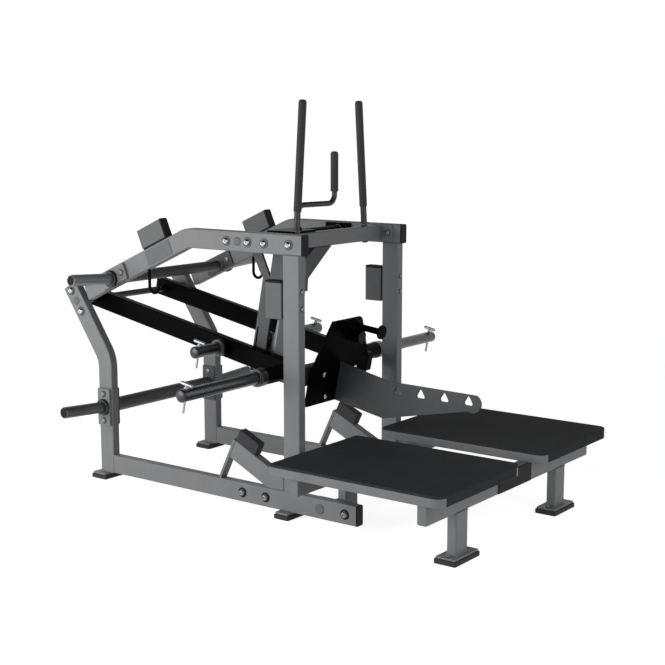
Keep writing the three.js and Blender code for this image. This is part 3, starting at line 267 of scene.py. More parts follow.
def turned(bm, profile, place, direction, sides=48):  # (radius, distance) in mm
    axis = direction.normalized()
    u = axis.orthogonal().normalized()
    v = axis.cross(u)
    rings = []
    for radius, along in profile:
        centre = place + axis * along / 1000
        if radius < 0.001:
            rings.append([bm.verts.new(centre)])
        else:
            rings.append([bm.verts.new(centre + (u * math.cos(t) + v * math.sin(t)) * radius / 1000)
                          for t in (2 * math.pi * k / sides for k in range(sides))])
    for one, two in zip(rings, rings[1:]):
        for k in range(sides):
            n = (k + 1) % sides
            if len(one) == 1 and len(two) == 1:
                continue
            if len(one) == 1:
                bm.faces.new((one[0], two[k], two[n]))
            elif len(two) == 1:
                bm.faces.new((one[k], two[0], one[n]))
            else:
                bm.faces.new((one[k], two[k], two[n], one[n]))


def roundOver(bm, edges, edge, segments):  # an edge of two faces is given once
    bmesh.ops.bevel(bm, geom=list(dict.fromkeys(edges)), offset=edge / 1000, segments=segments, profile=0.5,
                    affect="EDGES", clamp_overlap=True)


def slab(bm, outline, thick, edge, segments=2):  # a plate: outline points, thickness vector, edge in mm
    low = [bm.verts.new(p) for p in outline]
    high = [bm.verts.new(p + thick) for p in outline]
    count = len(outline)
    rims = [bm.faces.new(low[::-1]), bm.faces.new(high)]
    for k in range(count):
        bm.faces.new((low[k], low[(k + 1) % count], high[(k + 1) % count], high[k]))
    roundOver(bm, [e for f in rims for e in f.edges], edge, segments)


def block(bm, lo, hi, edge):  # a box with all its edges rounded
    x0, y0, z0 = lo
    x1, y1, z1 = hi
    roundedHull(bm, [at(x, y, z) for x in (x0, x1) for y in (y0, y1) for z in (z0, z1)], edge)


def roundedHull(bm, corners, edge):  # eight corners in x, y, z order
    v = [bm.verts.new(c) for c in corners]
    quads = ((0, 1, 3, 2), (4, 6, 7, 5), (0, 4, 5, 1), (2, 3, 7, 6), (0, 2, 6, 4), (1, 5, 7, 3))
    faces = [bm.faces.new([v[i] for i in q]) for q in quads]
    roundOver(bm, [e for f in faces for e in f.edges], edge, 3)


def pipe(bm, points, radius, sides=24):  # a round rod along close points
    stations = []
    u = None
    for i, p in enumerate(points):
        ahead = points[min(i + 1, len(points) - 1)] - points[max(i - 1, 0)]
        along = ahead.normalized()
        if u is None:
            u = along.orthogonal().normalized()
        u = (u - along * u.dot(along)).normalized()
        stations.append((p, u, along.cross(u)))
    sweep(bm, stations, circle(radius, sides))


def bead(bm, points, radius, pitch=3.5, ripple=0.12):  # a weld's rippled line through these corners
    stations = []
    for a, b in zip(points, points[1:]):
        steps = max(2, int((b - a).length * 1000 / (pitch / 2)))
        along = (b - a).normalized()
        u = along.orthogonal().normalized()
        for k in range(steps):
            swell = 1.0 + (ripple if k % 2 else -ripple)
            stations.append((a.lerp(b, k / steps), u * swell, along.cross(u) * swell))
    stations.append((points[-1], stations[-1][1] * 0.5, stations[-1][2] * 0.5))
    sweep(bm, stations, circle(radius, 8))


def piece(name, bm, material, body, nodes=(), sharp=40, weighted=True):
    bmesh.ops.recalc_face_normals(bm, faces=bm.faces)
    mesh = bpy.data.meshes.new(name)
    bm.to_mesh(mesh)
    bm.free()
    mesh.shade_smooth()
    mesh.set_sharp_from_angle(angle=math.radians(sharp))
    obj = bpy.data.objects.new(name, mesh)
    bpy.context.scene.collection.objects.link(obj)
    mesh.materials.append(material)
    if weighted:
        even = obj.modifiers.new("evenNormals", "WEIGHTED_NORMAL")
        even.keep_sharp = True
        even.weight = 60
    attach(obj, body)
    if nodes:
        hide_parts(*nodes)


boltSizes = {  # the head's radius and height, and the washer's radius
    "frame": (12.8, 14.5, 20.0), "horn": (10.5, 10.0, 15.0), "plate": (9.5, 6.0, 11.6),
    "post": (9.0, 8.0, 11.5), "hook": (9.0, 6.0, 11.0), "foot": (8.0, 6.0, 9.8), "bumper": (7.0, 6.0, 8.6),
}


def bolt(dome, washer, place, direction, size="frame"):  # domed head with a socket, on a flat washer
    radius, high, rim = boltSizes[size]
    turned(washer, [(0, -1), (rim - 0.8, -1), (rim, 0.4), (rim, 1.8), (rim - 1.2, 2.6), (0, 2.6)],
           place, direction)
    top = [(0, 1.5), (radius, 1.5), (radius * 1.02, 3.2)]
    for k in range(1, 7):
        a = math.radians(90 * k / 7)
        top.append((radius * math.cos(a) ** 0.8, 3.2 + (high - 3.2) * math.sin(a)))
    socket = radius * 0.36
    top += [(socket * 1.1, high), (socket, high - 0.5), (socket * 0.92, high * 0.45), (0, high * 0.4)]
    turned(dome, top, place, direction)


def plug(bm, place, direction, radius=17.0):  # low round plug in a tube's hole
    turned(bm, [(0, -1), (radius, -1), (radius * 1.04, 0.6), (radius, 2.2), (radius * 0.86, 3.0),
                (radius * 0.8, 2.2), (0, 2.2)], place, direction)


def capPlug(bm, place, along, up):  # flush end cap of a tube, its face rounded off
    v = up.cross(along).normalized()
    stations = [(place, up, v), (place + along * (capThick - 2) / 1000, up, v),
                (place + along * capThick / 1000, up * (tubeWide - 3) / tubeWide,
                 v * (tubeThin - 3) / tubeThin)]
    sweep(bm, stations, roundedRect(tubeWide, tubeThin, tubeCorner))


sides = (("left", -1), ("right", 1))
up = Vector((0, 0, 1))
xAxis = Vector((1, 0, 0))
yAxis = Vector((0, 1, 0))

# Rubber feet, and the plates welded over them: each foot's middle, its plate's width, depth and top
feetShape = {
    "thick": 18.0, "border": 6.0, "rear_foot": (335.0, 1088.0, 100.0, 75.0, 26.6),
    "front_foot": (335.0, 70.0, 95.0, 62.0, 27.5), "deck_foot": (376.0, -726.0, 161.0, 80.0, 26.3),
}


def footPlate(bm, foot, s):
    x, y, wide, deep, top = feetShape[foot]
    block(bm, (s * x - wide / 2, y - deep / 2, feetShape["thick"] + gap),
          (s * x + wide / 2, y + deep / 2, top), 1.5)


# Side frames
frameShape = {
    "legFootY": 1068.0, "legLean": 55.5, "legBend": 130.0, "legPast": 80.0, "legBolts": (52.0, -52.0),
    "railLow": 26.3, "railNose": 274.0, "railBolts": (292.0, 172.0, -217.0), "railPlug": -97.0,
    "postBolts": (897.5, 831.5), "beamZ": 1075.0, "beamNose": 17.0, "beamBendY": 576.0, "beamSlope": 23.9,
    "beamBend": 120.0, "beamEndY": 1170.0, "beamBolts": (48.8, 171.0, 253.2, 361.2), "beamPlug": 306.0,
}
beamSlope = math.radians(frameShape["beamSlope"])
legLean = math.radians(frameShape["legLean"])
railLow = frameShape["railLow"]
railTop = railLow + tubeWide
railMid = railLow + tubeWide / 2
footY, beamZ = frameShape["legFootY"], frameShape["beamZ"]


def beamCentre(y):
    return beamZ - max(y - frameShape["beamBendY"], 0) * math.tan(beamSlope)


def legPoint(x, along):
    return at(x, machine["pivotY"] + along * math.cos(legLean), machine["pivotZ"] + along * math.sin(legLean))


frameDome, frameWasher = bmesh.new(), bmesh.new()
smallDome, smallWasher = bmesh.new(), bmesh.new()
plugs, welds, caps, greyCaps = bmesh.new(), bmesh.new(), bmesh.new(), bmesh.new()
railDome, railWasher = bmesh.new(), bmesh.new()
for side, s in sides:
    x = s * machine["sideX"]
    face = s * outerFace
    out = Vector((s, 0, 0))

    leg = bmesh.new()
    bendZ = machine["pivotZ"] - (machine["pivotY"] - footY) * math.tan(legLean)
    top = (machine["pivotY"] + frameShape["legPast"] * math.cos(legLean),
           machine["pivotZ"] + frameShape["legPast"] * math.sin(legLean))
    sideTube(leg, x, [(footY, railLow), (footY, bendZ), top], frameShape["legBend"])
    footPlate(leg, "rear_foot", s)
    piece(f"rearLeg_{side}", leg, greyPowderCoat, "frame", [f"rear_leg_{side}"])
    for along in frameShape["legBolts"]:
        bolt(frameDome, frameWasher, legPoint(face, along), out)
    plug(plugs, legPoint(face, 0), out)
    for dx in (-tubeThin / 2, tubeThin / 2):
        bead(welds, [at(x + dx, footY + 40, 27), at(x + dx, footY - 39.5, 27)], 2.6)

    rail = bmesh.new()
    railFront = -frameShape["railNose"] + capThick
    sideTube(rail, x, [(railFront, railMid), (footY - tubeWide / 2 - gap, railMid)])
    footPlate(rail, "front_foot", s)
    piece(f"bottomRail_{side}", rail, greyPowderCoat, "frame", [f"bottom_rail_{side}"])
    capPlug(caps, at(x, railFront, railMid), -yAxis, up)
    for y in frameShape["railBolts"]:
        bolt(railDome, railWasher, at(face, y, railMid), out)
    plug(plugs, at(face, frameShape["railPlug"], railMid), out, 20)

    post = bmesh.new()
    postY, postTop = tubeWide / 2, beamZ - tubeWide / 2 - gap
    straightTube(post, at(x, postY, railTop + gap), at(x, postY, postTop), yAxis)
    piece(f"frontPost_{side}", post, greyPowderCoat, "frame", [f"front_post_{side}"])
    for z in frameShape["postBolts"]:
        bolt(smallDome, smallWasher, at(x, 0, z), -yAxis, "post")

    beam = bmesh.new()
    beamFront, endY = -frameShape["beamNose"] + capThick, frameShape["beamEndY"]
    sideTube(beam, x, [(beamFront, beamZ), (frameShape["beamBendY"], beamZ), (endY, beamCentre(endY))],
             frameShape["beamBend"])
    piece(f"topBeam_{side}", beam, greyPowderCoat, "frame", [f"top_beam_{side}"])
    capPlug(caps, at(x, beamFront, beamZ), -yAxis, up)
    for y in frameShape["beamBolts"]:
        bolt(frameDome, frameWasher, at(face, y, beamZ), out)
    plug(plugs, at(face, frameShape["beamPlug"], beamZ), out)
print("side frames made")

# Hooks under the beams
hookShape = {"rod": 6.5, "stemY": 806.0, "drop": 72.0, "bend": 26.5, "inBeam": 10.0}
stemY, hookRod, hookBend = hookShape["stemY"], hookShape["rod"], hookShape["bend"]
stemTop = beamCentre(stemY) - tubeWide / 2 + hookShape["inBeam"]
low = beamCentre(stemY) - tubeWide / 2 - hookShape["drop"]
for side, s in sides:
    x = s * machine["sideX"]
    points = [at(x, stemY, stemTop), at(x, stemY, low + 20)]
    for k in range(19):
        a = math.radians(-10 * k)
        points.append(at(x, stemY - hookBend + hookBend * math.cos(a), low + hookBend * math.sin(a)))
    hook = bmesh.new()
    pipe(hook, points, hookRod)
    turned(hook, [(0, 0), (hookRod, 0), (hookRod - 1.5, 3), (0, 4)], points[-1], up, 24)
    piece(f"strapHook_{side}", hook, blackPowderCoat, "frame")
    bead(welds, [at(x - 8, stemY + 2, stemTop - 12), at(x + 8, stemY + 2, stemTop - 12)], 2.5)

# Bare name plate on the near beam: a thin border, and a raised field inside it
namePlate = {"long": 150.0, "high": 62.0, "thick": 2.0, "rim": 3.0, "rimThick": 1.2, "y": 731.0}
centre = at(-outerFace, namePlate["y"], beamCentre(namePlate["y"]))
sheet = bmesh.new()
for inset, thick in ((0, namePlate["rimThick"]), (namePlate["rim"], namePlate["thick"])):
    outline = slopedRect(centre, -beamSlope, namePlate["long"] - 2 * inset, namePlate["high"] - 2 * inset, 4)
    slab(sheet, outline, Vector((-thick / 1000, 0, 0)), 0.3)
piece("namePlateBare", sheet, greyPlug, "frame")

# Stop blocks on the beams and behind the posts
blockShape = {"long": 150.0, "high": 86.0, "seam": 6.0, "seamInset": 3.0, "topY": 754.0, "postZ": 785.0,
              "cap": 7.0}
postRear = tubeWide + gap    # the place behind the front posts


def stopBlock(name, x, y, z, angle, node):
    along, lift = slopeAxes(angle)
    foot = at(0, y, z)
    long, high, seam = blockShape["long"], blockShape["high"], blockShape["seam"]
    cap, inset, half = blockShape["cap"], blockShape["seamInset"], tubeThin / 2

    def corners(a0, a1, b0, b1, reach):
        return [foot + Vector((dx / 1000, 0, 0)) + (along * a + lift * b) / 1000
                for dx in (x - reach, x + reach) for a in (a0, a1) for b in (b0, b1)]

    bodyMesh = bmesh.new()
    roundedHull(bodyMesh, corners(cap, long, seam, high, half), 3.5)
    piece(name, bodyMesh, blockPowderCoat, "frame", [node])
    dark = bmesh.new()
    roundedHull(dark, corners(inset, long - inset, 0.2, seam + 3, half - inset), 1)
    roundedHull(dark, corners(0, cap + 5, seam, high, half), 3)
    piece(name + "Rubber", dark, mouldedNylon, "frame")


half = blockShape["long"] / 2
topFace = beamCentre(blockShape["topY"]) + tubeWide / 2 / math.cos(beamSlope) + gap
for side, s in sides:
    x = s * machine["sideX"]
    stopBlock(f"topBlock_{side}", x, blockShape["topY"] - half * math.cos(beamSlope),
              topFace + half * math.sin(beamSlope), -beamSlope, f"top_block_{side}")
    stopBlock(f"postBlock_{side}", x, postRear, blockShape["postZ"] + blockShape["long"], -math.pi / 2,
              f"post_block_{side}")
print("blocks and hooks made")

# Storage horns, with their collars and bolted plates
storageShape = {"reach": 235.0, "radius": 24.15, "collar": 36.0, "collarLong": 22.0, "collarEdge": 5.0,
                "tilt": 3.5, "plateLong": 164.0, "plateWide": 72.0, "plateThick": 12.0, "boltAt": 58.0,
                "upperY": 1000.0, "upperDrop": 7.0, "plateShift": 5.0, "lowerZ": 317.0}
upperY, plateY = storageShape["upperY"], storageShape["upperY"] - storageShape["plateShift"]
upperAt = (upperY, beamCentre(upperY) - storageShape["upperDrop"])
upperPlateAt = (plateY, beamCentre(plateY))
lowerAt = (footY, storageShape["lowerZ"])
rearPlate = (storageShape["plateLong"], storageShape["plateWide"])
tilt = math.radians(storageShape["tilt"])
plateFace = outerFace + gap
r, reach, thick = storageShape["radius"], storageShape["reach"], storageShape["plateThick"]
collar, collarLong, edge = storageShape["collar"], storageShape["collarLong"], storageShape["collarEdge"]
storageEnds = bmesh.new()
for side, s in sides:
    out = Vector((s, 0, 0))
    way = Vector((s * math.cos(tilt), 0, math.sin(tilt)))
    # The upper horns get the coat's lighter copy: painted light
    for name, coat, place, plateAt, slope in (
            ("upper", litSleeveCoat, upperAt, upperPlateAt, -beamSlope),
            ("lower", sleeveCoat, lowerAt, lowerAt, math.pi / 2)):
        root = at(s * (plateFace + thick / 2), *place)
        horn = bmesh.new()
        turned(horn, [(0, collarLong - 8), (r, collarLong - 8), (r, reach - 7), (r - 0.8, reach - 3.5),
                      (r - 3, reach - 1), (r - 4, reach - 1), (r - 4, reach - 2.5), (0, reach - 2.5)],
               root, way)
        turned(storageEnds, [(0, reach - 2.2), (r - 4.3, reach - 2.2), (r - 4.3, reach - 1),
                             (r - 6, reach - 0.2), (0, reach - 0.2)], root, way)
        piece(f"storageHorn_{name}_{side}", horn, coat, "frame",
              [f"storage_horn_{name}_{side}"])
        ring = bmesh.new()
        turned(ring, [(0, 3), (collar, 3), (collar, collarLong - edge),
                      (collar - 0.8, collarLong - edge + 1.4), (collar - edge, collarLong - 0.4),
                      (collar - edge - 1, collarLong), (r, collarLong), (0, collarLong - 1)], root, way)
        piece(f"hornCollar_{name}_{side}", ring, blackEnamel, "frame")
        plate = bmesh.new()
        slab(plate, slopedRect(at(s * plateFace, *plateAt), slope, *rearPlate, 8), out * thick / 1000, 1)
        piece(f"hornPlate_{name}_{side}", plate, greyPowderCoat, "frame")
        for k in (-1, 1):
            aside = slopeAxes(slope)[0] * k * storageShape["boltAt"] / 1000
            bolt(smallDome, smallWasher, at(s * (plateFace + thick), *plateAt) + aside, out, "horn")
piece("storageHornEnds", storageEnds, mouldedNylon, "frame")
print("storage horns made")

# Bumper ramps and their rubber blocks
rampShape = {"angle": 25.5, "startZ": 156.0, "toBumper": 162.0, "bumperLong": 112.0, "bumperHigh": 54.0,
             "endPlate": 12.0, "boltsAt": (-35.0, 27.0)}
ramp = math.radians(rampShape["angle"])
toBumper, endPlate = rampShape["toBumper"], rampShape["endPlate"]
rampLong = toBumper + rampShape["bumperLong"]
floorZ = railTop + gap


def onRamp(along, lift):  # (y, z) of a place over the ramp's top edge, from the post
    return (postRear + along * math.cos(ramp) - lift * math.sin(ramp),
            rampShape["startZ"] + along * math.sin(ramp) + lift * math.cos(ramp))


meet = (rampShape["startZ"] - tubeWide * math.cos(ramp) - floorZ) / math.sin(ramp)
down = (rampShape["startZ"] + rampLong * math.sin(ramp) - floorZ) / math.cos(ramp)
lowY = onRamp(rampLong, -down)[0]
rampOutline = [(postRear, floorZ), onRamp(-meet, -tubeWide), onRamp(rampLong, -tubeWide), onRamp(rampLong, 0),
               onRamp(0, 0)]
endOutline = [onRamp(rampLong - gap, 0), (lowY, floorZ), (lowY + endPlate / math.cos(ramp), floorZ),
              onRamp(rampLong + endPlate, 0)]
for side, s in sides:
    x = s * machine["sideX"]
    bracket = bmesh.new()
    for points, edge, segments in ((rampOutline, 5, 3), (endOutline, 1.5, 2)):
        slab(bracket, [at(x - tubeThin / 2, y, z) for y, z in points], Vector((tubeThin / 1000, 0, 0)), edge,
             segments)
    piece(f"bumperRamp_{side}", bracket, greyPowderCoat, "frame", [f"bumper_ramp_{side}"])
    rubber = bmesh.new()
    places = [onRamp(a, b) for a in (toBumper, rampLong) for b in (gap, gap + rampShape["bumperHigh"])]
    roundedHull(rubber, [at(dx, y, z) for dx in (x - tubeThin / 2, x + tubeThin / 2) for y, z in places], 5)
    piece(f"bumper_{side}", rubber, mouldedRubber, "frame", [f"bumper_{side}"])
    under = Vector((0, math.sin(ramp), -math.cos(ramp)))
    for a in rampShape["boltsAt"]:
        bolt(smallDome, smallWasher, at(x, *onRamp(toBumper + a, -tubeWide)), under, "bumper")
    for dx in (-17, 17):
        bead(welds, [at(x + dx, lowY + 13, floorZ + 0.5), at(x + dx * 0.2, lowY + 13.5, floorZ + 0.5)], 2.4)
print("bumper ramps made")

# Rubber feet
for side, s in sides:
    for foot in ("rear_foot", "front_foot", "deck_foot"):
        x, y, wide, deep = feetShape[foot][:4]
        border = 2 * feetShape["border"]
        pad = bmesh.new()
        slab(pad, [at(s * x, y, 0) + Vector((a, b, 0)) / 1000
                   for a, b in roundedRect(wide + border, deep + border, 8)],
             Vector((0, 0, feetShape["thick"] / 1000)), 3, 3)
        piece(f"{foot}_pad_{side}", pad, mouldedRubber, "frame", [f"{foot}_{side}"])

# Cross members: a bar between two bolted plates; places are (y, z), and bolts are this far from them
crossShape = {
    "plate": 8.0, "beamHigh": 60.0, "beamAt": (111.0, 1077.0), "beamPlate": (171.0, 70.0), "beamBolts": 63.3,
    "barRadius": 24.0, "barAt": (306.0, 1075.0), "barPlate": (134.0, 70.0), "barBolts": 52.3,
    "lowerRadius": 30.15,
}


def crossMember(name, node, place, plateAt, plateSize, slope, boltAt, coat, barRadius=0):
    bm = bmesh.new()
    y, z = place
    plate, high = crossShape["plate"], crossShape["beamHigh"]
    if barRadius:
        reach = innerReach - 2
        turned(bm, [(0, 0), (barRadius, 0), (barRadius, 2 * reach), (0, 2 * reach)], at(-reach, y, z), xAxis)
        seam = [(math.cos(t) * (barRadius + 0.5), math.sin(t) * (barRadius + 0.5)) for t in onceRound(12)]
    else:
        reach = innerReach - 4
        straightTube(bm, at(-reach, y, z), at(reach, y, z), up, high)
        w, h = tubeThin / 2 + 0.5, high / 2 + 0.5
        seam = [(w, h), (-w, h), (-w, -h), (w, -h), (w, h)]
    for s in (-1, 1):
        outline = slopedRect(at(s * innerReach, *plateAt), slope, *plateSize, 7)
        slab(bm, outline, Vector((-s * plate / 1000, 0, 0)), 1)
        for k in (-1, 1):
            aside = slopeAxes(slope)[0] * k * boltAt / 1000
            spot = at(s * (innerReach - plate), *plateAt) + aside
            bolt(smallDome, smallWasher, spot, Vector((-s, 0, 0)), "plate")
        bead(welds, [at(s * (innerReach - plate - 0.5), y + p, z + q) for p, q in seam], 2.4)
    piece(name, bm, coat, "frame", [node])


beamAt, barAt, rearBolts = crossShape["beamAt"], crossShape["barAt"], storageShape["boltAt"]
crossMember("frontCrossbeam", "front_crossbeam", beamAt, beamAt, crossShape["beamPlate"], 0,
            crossShape["beamBolts"], greyPowderCoat)
crossMember("secondCrossBar", "second_cross_bar", barAt, barAt, crossShape["barPlate"], 0,
            crossShape["barBolts"], blackPowderCoat, crossShape["barRadius"])
# The rear bars' darker coat holds painted shade
crossMember("rearUpperBar", "rear_upper_bar", upperAt, upperPlateAt, rearPlate, -beamSlope, rearBolts,
            rearBarShadedCoat, storageShape["radius"])
crossMember("rearLowerBar", "rear_lower_bar", lowerAt, lowerAt, rearPlate, math.pi / 2, rearBolts,
            rearBarShadedCoat, crossShape["lowerRadius"])
axleShape = {"radius": 14.0, "half": 351.7, "edge": 1.5}
r, long, edge = axleShape["radius"], 2 * axleShape["half"], axleShape["edge"]
axle = bmesh.new()
turned(axle, [(0, 0), (r - edge, 0), (r, edge), (r, long - 1.4), (r - edge, long), (0, long)],
       at(-axleShape["half"], machine["pivotY"], machine["pivotZ"]), xAxis)
piece("pivotAxle", axle, blackEnamel, "frame", ["pivot_axle"])
print("cross members made")

# Upright handles
handleShape = {"footX": 227.0, "topX": 185.0, "y": 111.0, "footZ": 1115.0, "topZ": 1621.5, "beamLow": 1047.0,
               "nub": 7.0, "rod": 13.0, "grip": 15.9, "gripLong": 432.0}


def gripSleeve(bm, mouth, start, end, place, way):  # rubber sleeve from its mouth to its closed round top
    g = handleShape["grip"]
    turned(bm, mouth + [(g - 0.8, start), (g, start + 2), (g, end - 12), (g - 0.7, end - 7),
                        (g - 2.6, end - 3.5), (g - 6, end - 1), (g - 10, end), (0, end)], place, way)


footZ, rod = handleShape["footZ"], handleShape["rod"]
for side, s in sides:
    lean = Vector((s * (handleShape["topX"] - handleShape["footX"]), 0, handleShape["topZ"] - footZ)) / 1000
    way = lean.normalized()
    below = (footZ - handleShape["beamLow"] + handleShape["nub"]) / way.z
    foot = at(s * handleShape["footX"], handleShape["y"], footZ) - way * below / 1000
    full = lean.length * 1000 + below
    gripFrom = full - handleShape["gripLong"]
    bar = bmesh.new()
    turned(bar, [(0, 0), (rod - 3, 0), (rod, 2), (rod, gripFrom + 5), (0, gripFrom + 5)], foot, way)
    piece(f"handleRod_{side}", bar, rodPowderCoat, "frame")
    sleeve = bmesh.new()
    gripSleeve(sleeve, [(rod, gripFrom + 4), (rod + 0.2, gripFrom)], gripFrom, full, foot, way)
    piece(f"handleGrip_{side}", sleeve, gripRubber, "frame", [f"handle_{side}"])
    root = foot + way * (below + 0.5) / 1000
    bead(welds, [root + Vector((math.cos(t), math.sin(t), 0)) * ((rod + 1.2) / 1000) for t in onceRound(10)],
         1.8)

# Release handle: a rod with two bends, its grip, and the bracket that guides it
releaseShape = {"x": -176.0, "y": 146.0, "rod": 11.0, "foot": 1062.0, "armZ": 1213.0, "bend": 34.0,
                "gripX": 32.0, "gripY": 120.0, "top": 1420.0, "gripLong": 160.0, "plateZ": 1107.3,
                "plateThick": 8.0, "plateHalf": 70.0, "plateFront": 109.0, "plateRear": 244.0}
rodX, rodY, plateZ = releaseShape["x"], releaseShape["y"], releaseShape["plateZ"]
bend, armZ, gripLong = releaseShape["bend"], releaseShape["armZ"], releaseShape["gripLong"]
bracket = bmesh.new()
block(bracket, (rodX - releaseShape["plateHalf"], releaseShape["plateFront"], plateZ),
      (rodX + releaseShape["plateHalf"] - gap, releaseShape["plateRear"],
       plateZ + releaseShape["plateThick"]), 1.2)
turned(bracket, [(11.4, 6), (17, 6), (17, 19), (15.5, 20.5), (11.4, 20.5)], at(rodX, rodY, plateZ), up)
piece("releaseBracket", bracket, blackPowderCoat, "frame", ["release_bracket"])
flat = Vector((releaseShape["gripX"] - rodX, releaseShape["gripY"] - rodY))
reach = flat.length
flat.normalize()


def onArm(u, z):
    return at(rodX + flat.x * u, rodY + flat.y * u, z)


points = [onArm(0, releaseShape["foot"]), onArm(0, armZ - bend)]
for k in range(1, 13):
    a = math.pi / 24 * k
    points.append(onArm(bend - bend * math.cos(a), armZ - bend + bend * math.sin(a)))
for k in range(13):
    a = math.pi / 24 * k
    points.append(onArm(reach - bend + bend * math.sin(a), armZ + bend - bend * math.cos(a)))
points.append(onArm(reach, releaseShape["top"] - 20))
handle = bmesh.new()
pipe(handle, points, releaseShape["rod"])
piece("releaseRod", handle, rodPowderCoat, "release")
grip = bmesh.new()
gripSleeve(grip, [(11, 2), (11.4, 0)], 0, gripLong, onArm(reach, releaseShape["top"] - gripLong), up)
piece("releaseGrip", grip, gripRubber, "release", ["release_handle"])
print("handles made")

# Catch tower: folded channel with a slot and a groove, light catch plate, stem, brace and strut
towerShape = {
    "x": -190.0, "deep": 40.0, "sheet": 8.0, "rear": 873.0, "wide": 191.0, "top": 330.0, "bottom": 70.0,
    "slotRear": 938.0, "slotWide": 50.0, "slotTop": 179.0, "groove": 9.0, "grooveTop": 122.0,
    "plateLow": 10.0, "plateHigh": 105.0, "fingerRear": 953.0, "fingerWide": 22.0, "fingerTop": 164.0,
    # Bolt on the catch plate, then the place and radius of a black disc painted as the shade of a hole
    "boltOut": 924.0, "boltUp": 80.0, "holeShadeOut": 929.0, "holeShadeUp": 51.0, "holeShadeRadius": 8.0,
    "stemOut": (905.0, 985.0), "stemTop": (522.0, 512.0),
    "braceY": 91.0, "braceDeep": 40.0, "braceTop": 1046.7, "braceReach": 166.0, "braceWide": 68.0,
    "braceAngle": 36.8, "strutThick": 12.0, "strutOut": (915.0, 867.0),
    "strutTop": ((366, 1010), (378.3, 1040), (378.3, 1099), (330.3, 1099), (330.3, 1050.7), (318, 1010)),
}
x0, x1 = towerShape["x"], towerShape["x"] + towerShape["deep"]
sheetThick = towerShape["sheet"]
rear, front = -towerShape["rear"], -towerShape["rear"] - towerShape["wide"]
tower = bmesh.new()


def towerSlab(points, xa, xb, edge=1.2):
    slab(tower, [onLever(xa, u, v) for u, v in points], Vector(((xb - xa) / 1000, 0, 0)), edge)


slotR, slotF = -towerShape["slotRear"], -towerShape["slotRear"] - towerShape["slotWide"]
grooveR = rear - sheetThick
grooveF = grooveR - towerShape["groove"]
low, high = -towerShape["bottom"], towerShape["top"]
slotTop, grooveTop = towerShape["slotTop"], towerShape["grooveTop"]
towerSlab([(front, low), (slotF, low), (slotF, slotTop), (slotR, slotTop), (slotR, low), (grooveF, low),
           (grooveF, grooveTop), (grooveR, grooveTop), (grooveR, low), (rear, low), (rear, high),
           (front, high)], x0, x0 + sheetThick)
for u0, u1, v0 in ((rear - sheetThick, rear, low), (front, front + sheetThick, low),
                   (front, rear, high - sheetThick)):
    towerSlab([(u0, v0), (u1, v0), (u1, high), (u0, high)], x0 + 1, x1)
(stemR, stemF), (stemTopR, stemTopF) = towerShape["stemOut"], towerShape["stemTop"]
towerSlab([(-stemF, high - 4), (-stemR, high - 4), (-stemR, stemTopR), (-stemF, stemTopF)], x0, x1, 4)
braceLow = onLever(0, front, high).z * 1000 - sheetThick
braceTop, braceFoot = towerShape["braceTop"], x0 + sheetThick
braceRight = x1 + towerShape["braceReach"] - towerShape["deep"]
slope = math.tan(math.radians(towerShape["braceAngle"]))
braceLeft = braceRight - towerShape["braceWide"] * math.hypot(1, slope) / slope
brace = [(x0, braceLow), (braceFoot, braceLow), (braceFoot, braceTop - (braceRight - braceFoot) * slope),
         (braceRight, braceTop), (braceLeft, braceTop), (x0, braceTop - (braceLeft - x0) * slope)]
slab(tower, [at(x, towerShape["braceY"], z) for x, z in brace],
     Vector((0, towerShape["braceDeep"] / 1000, 0)), 2, 3)
strutFeet = [onLever(0, -stemOut, high - 4) for stemOut in towerShape["strutOut"]]
strut = [(p.y * 1000 + machine["middle"], p.z * 1000) for p in strutFeet] + list(towerShape["strutTop"])
slab(tower, [at(x0, y, z) for y, z in strut], Vector((towerShape["strutThick"] / 1000, 0, 0)), 1.5)
# The tower's darker coat holds painted shade
piece("catchTower", tower, towerShadedCoat, "frame", ["catch_tower"])
inner = bmesh.new()
plateLow, plateHigh, fingerTop = towerShape["plateLow"], towerShape["plateHigh"], towerShape["fingerTop"]
earR, earF = -towerShape["fingerRear"], -towerShape["fingerRear"] - towerShape["fingerWide"]
plateOutline = [(front + sheetThick, plateLow), (rear - sheetThick, plateLow), (rear - sheetThick, plateHigh),
                (earR, plateHigh), (earR, fingerTop), (earF, fingerTop), (earF, plateHigh),
                (front + sheetThick, plateHigh)]
slab(inner, [onLever(x1 - sheetThick, u, v) for u, v in plateOutline], Vector((sheetThick / 1000, 0, 0)), 1)
piece("catchPlate", inner, plateAluminium, "frame")
boltOut, boltUp, holeShadeRadius = -towerShape["boltOut"], towerShape["boltUp"], towerShape["holeShadeRadius"]
pivotBolt = bmesh.new()
turned(pivotBolt, [(0, 4), (5, 4), (5, 39), (0, 39)], onLever(x0, boltOut, boltUp), xAxis, 32)
piece("hookPivotBolt", pivotBolt, darkZincSteel, "frame")
bolt(smallDome, smallWasher, onLever(x1 - sheetThick, boltOut, boltUp), -xAxis, "hook")
# No hole is cut: a thin black disc on the catch plate is painted shade for the dark inside of a hole
holeShadeDisc = bmesh.new()
turned(holeShadeDisc, [(0, 0.2), (holeShadeRadius, 0.2), (holeShadeRadius, -0.6), (0, -0.6)],
       onLever(x1 - sheetThick, -towerShape["holeShadeOut"], towerShape["holeShadeUp"]), -xAxis, 32)
piece("catchPlateHoleShade", holeShadeDisc, mouldedNylon, "frame")
print("catch tower made")

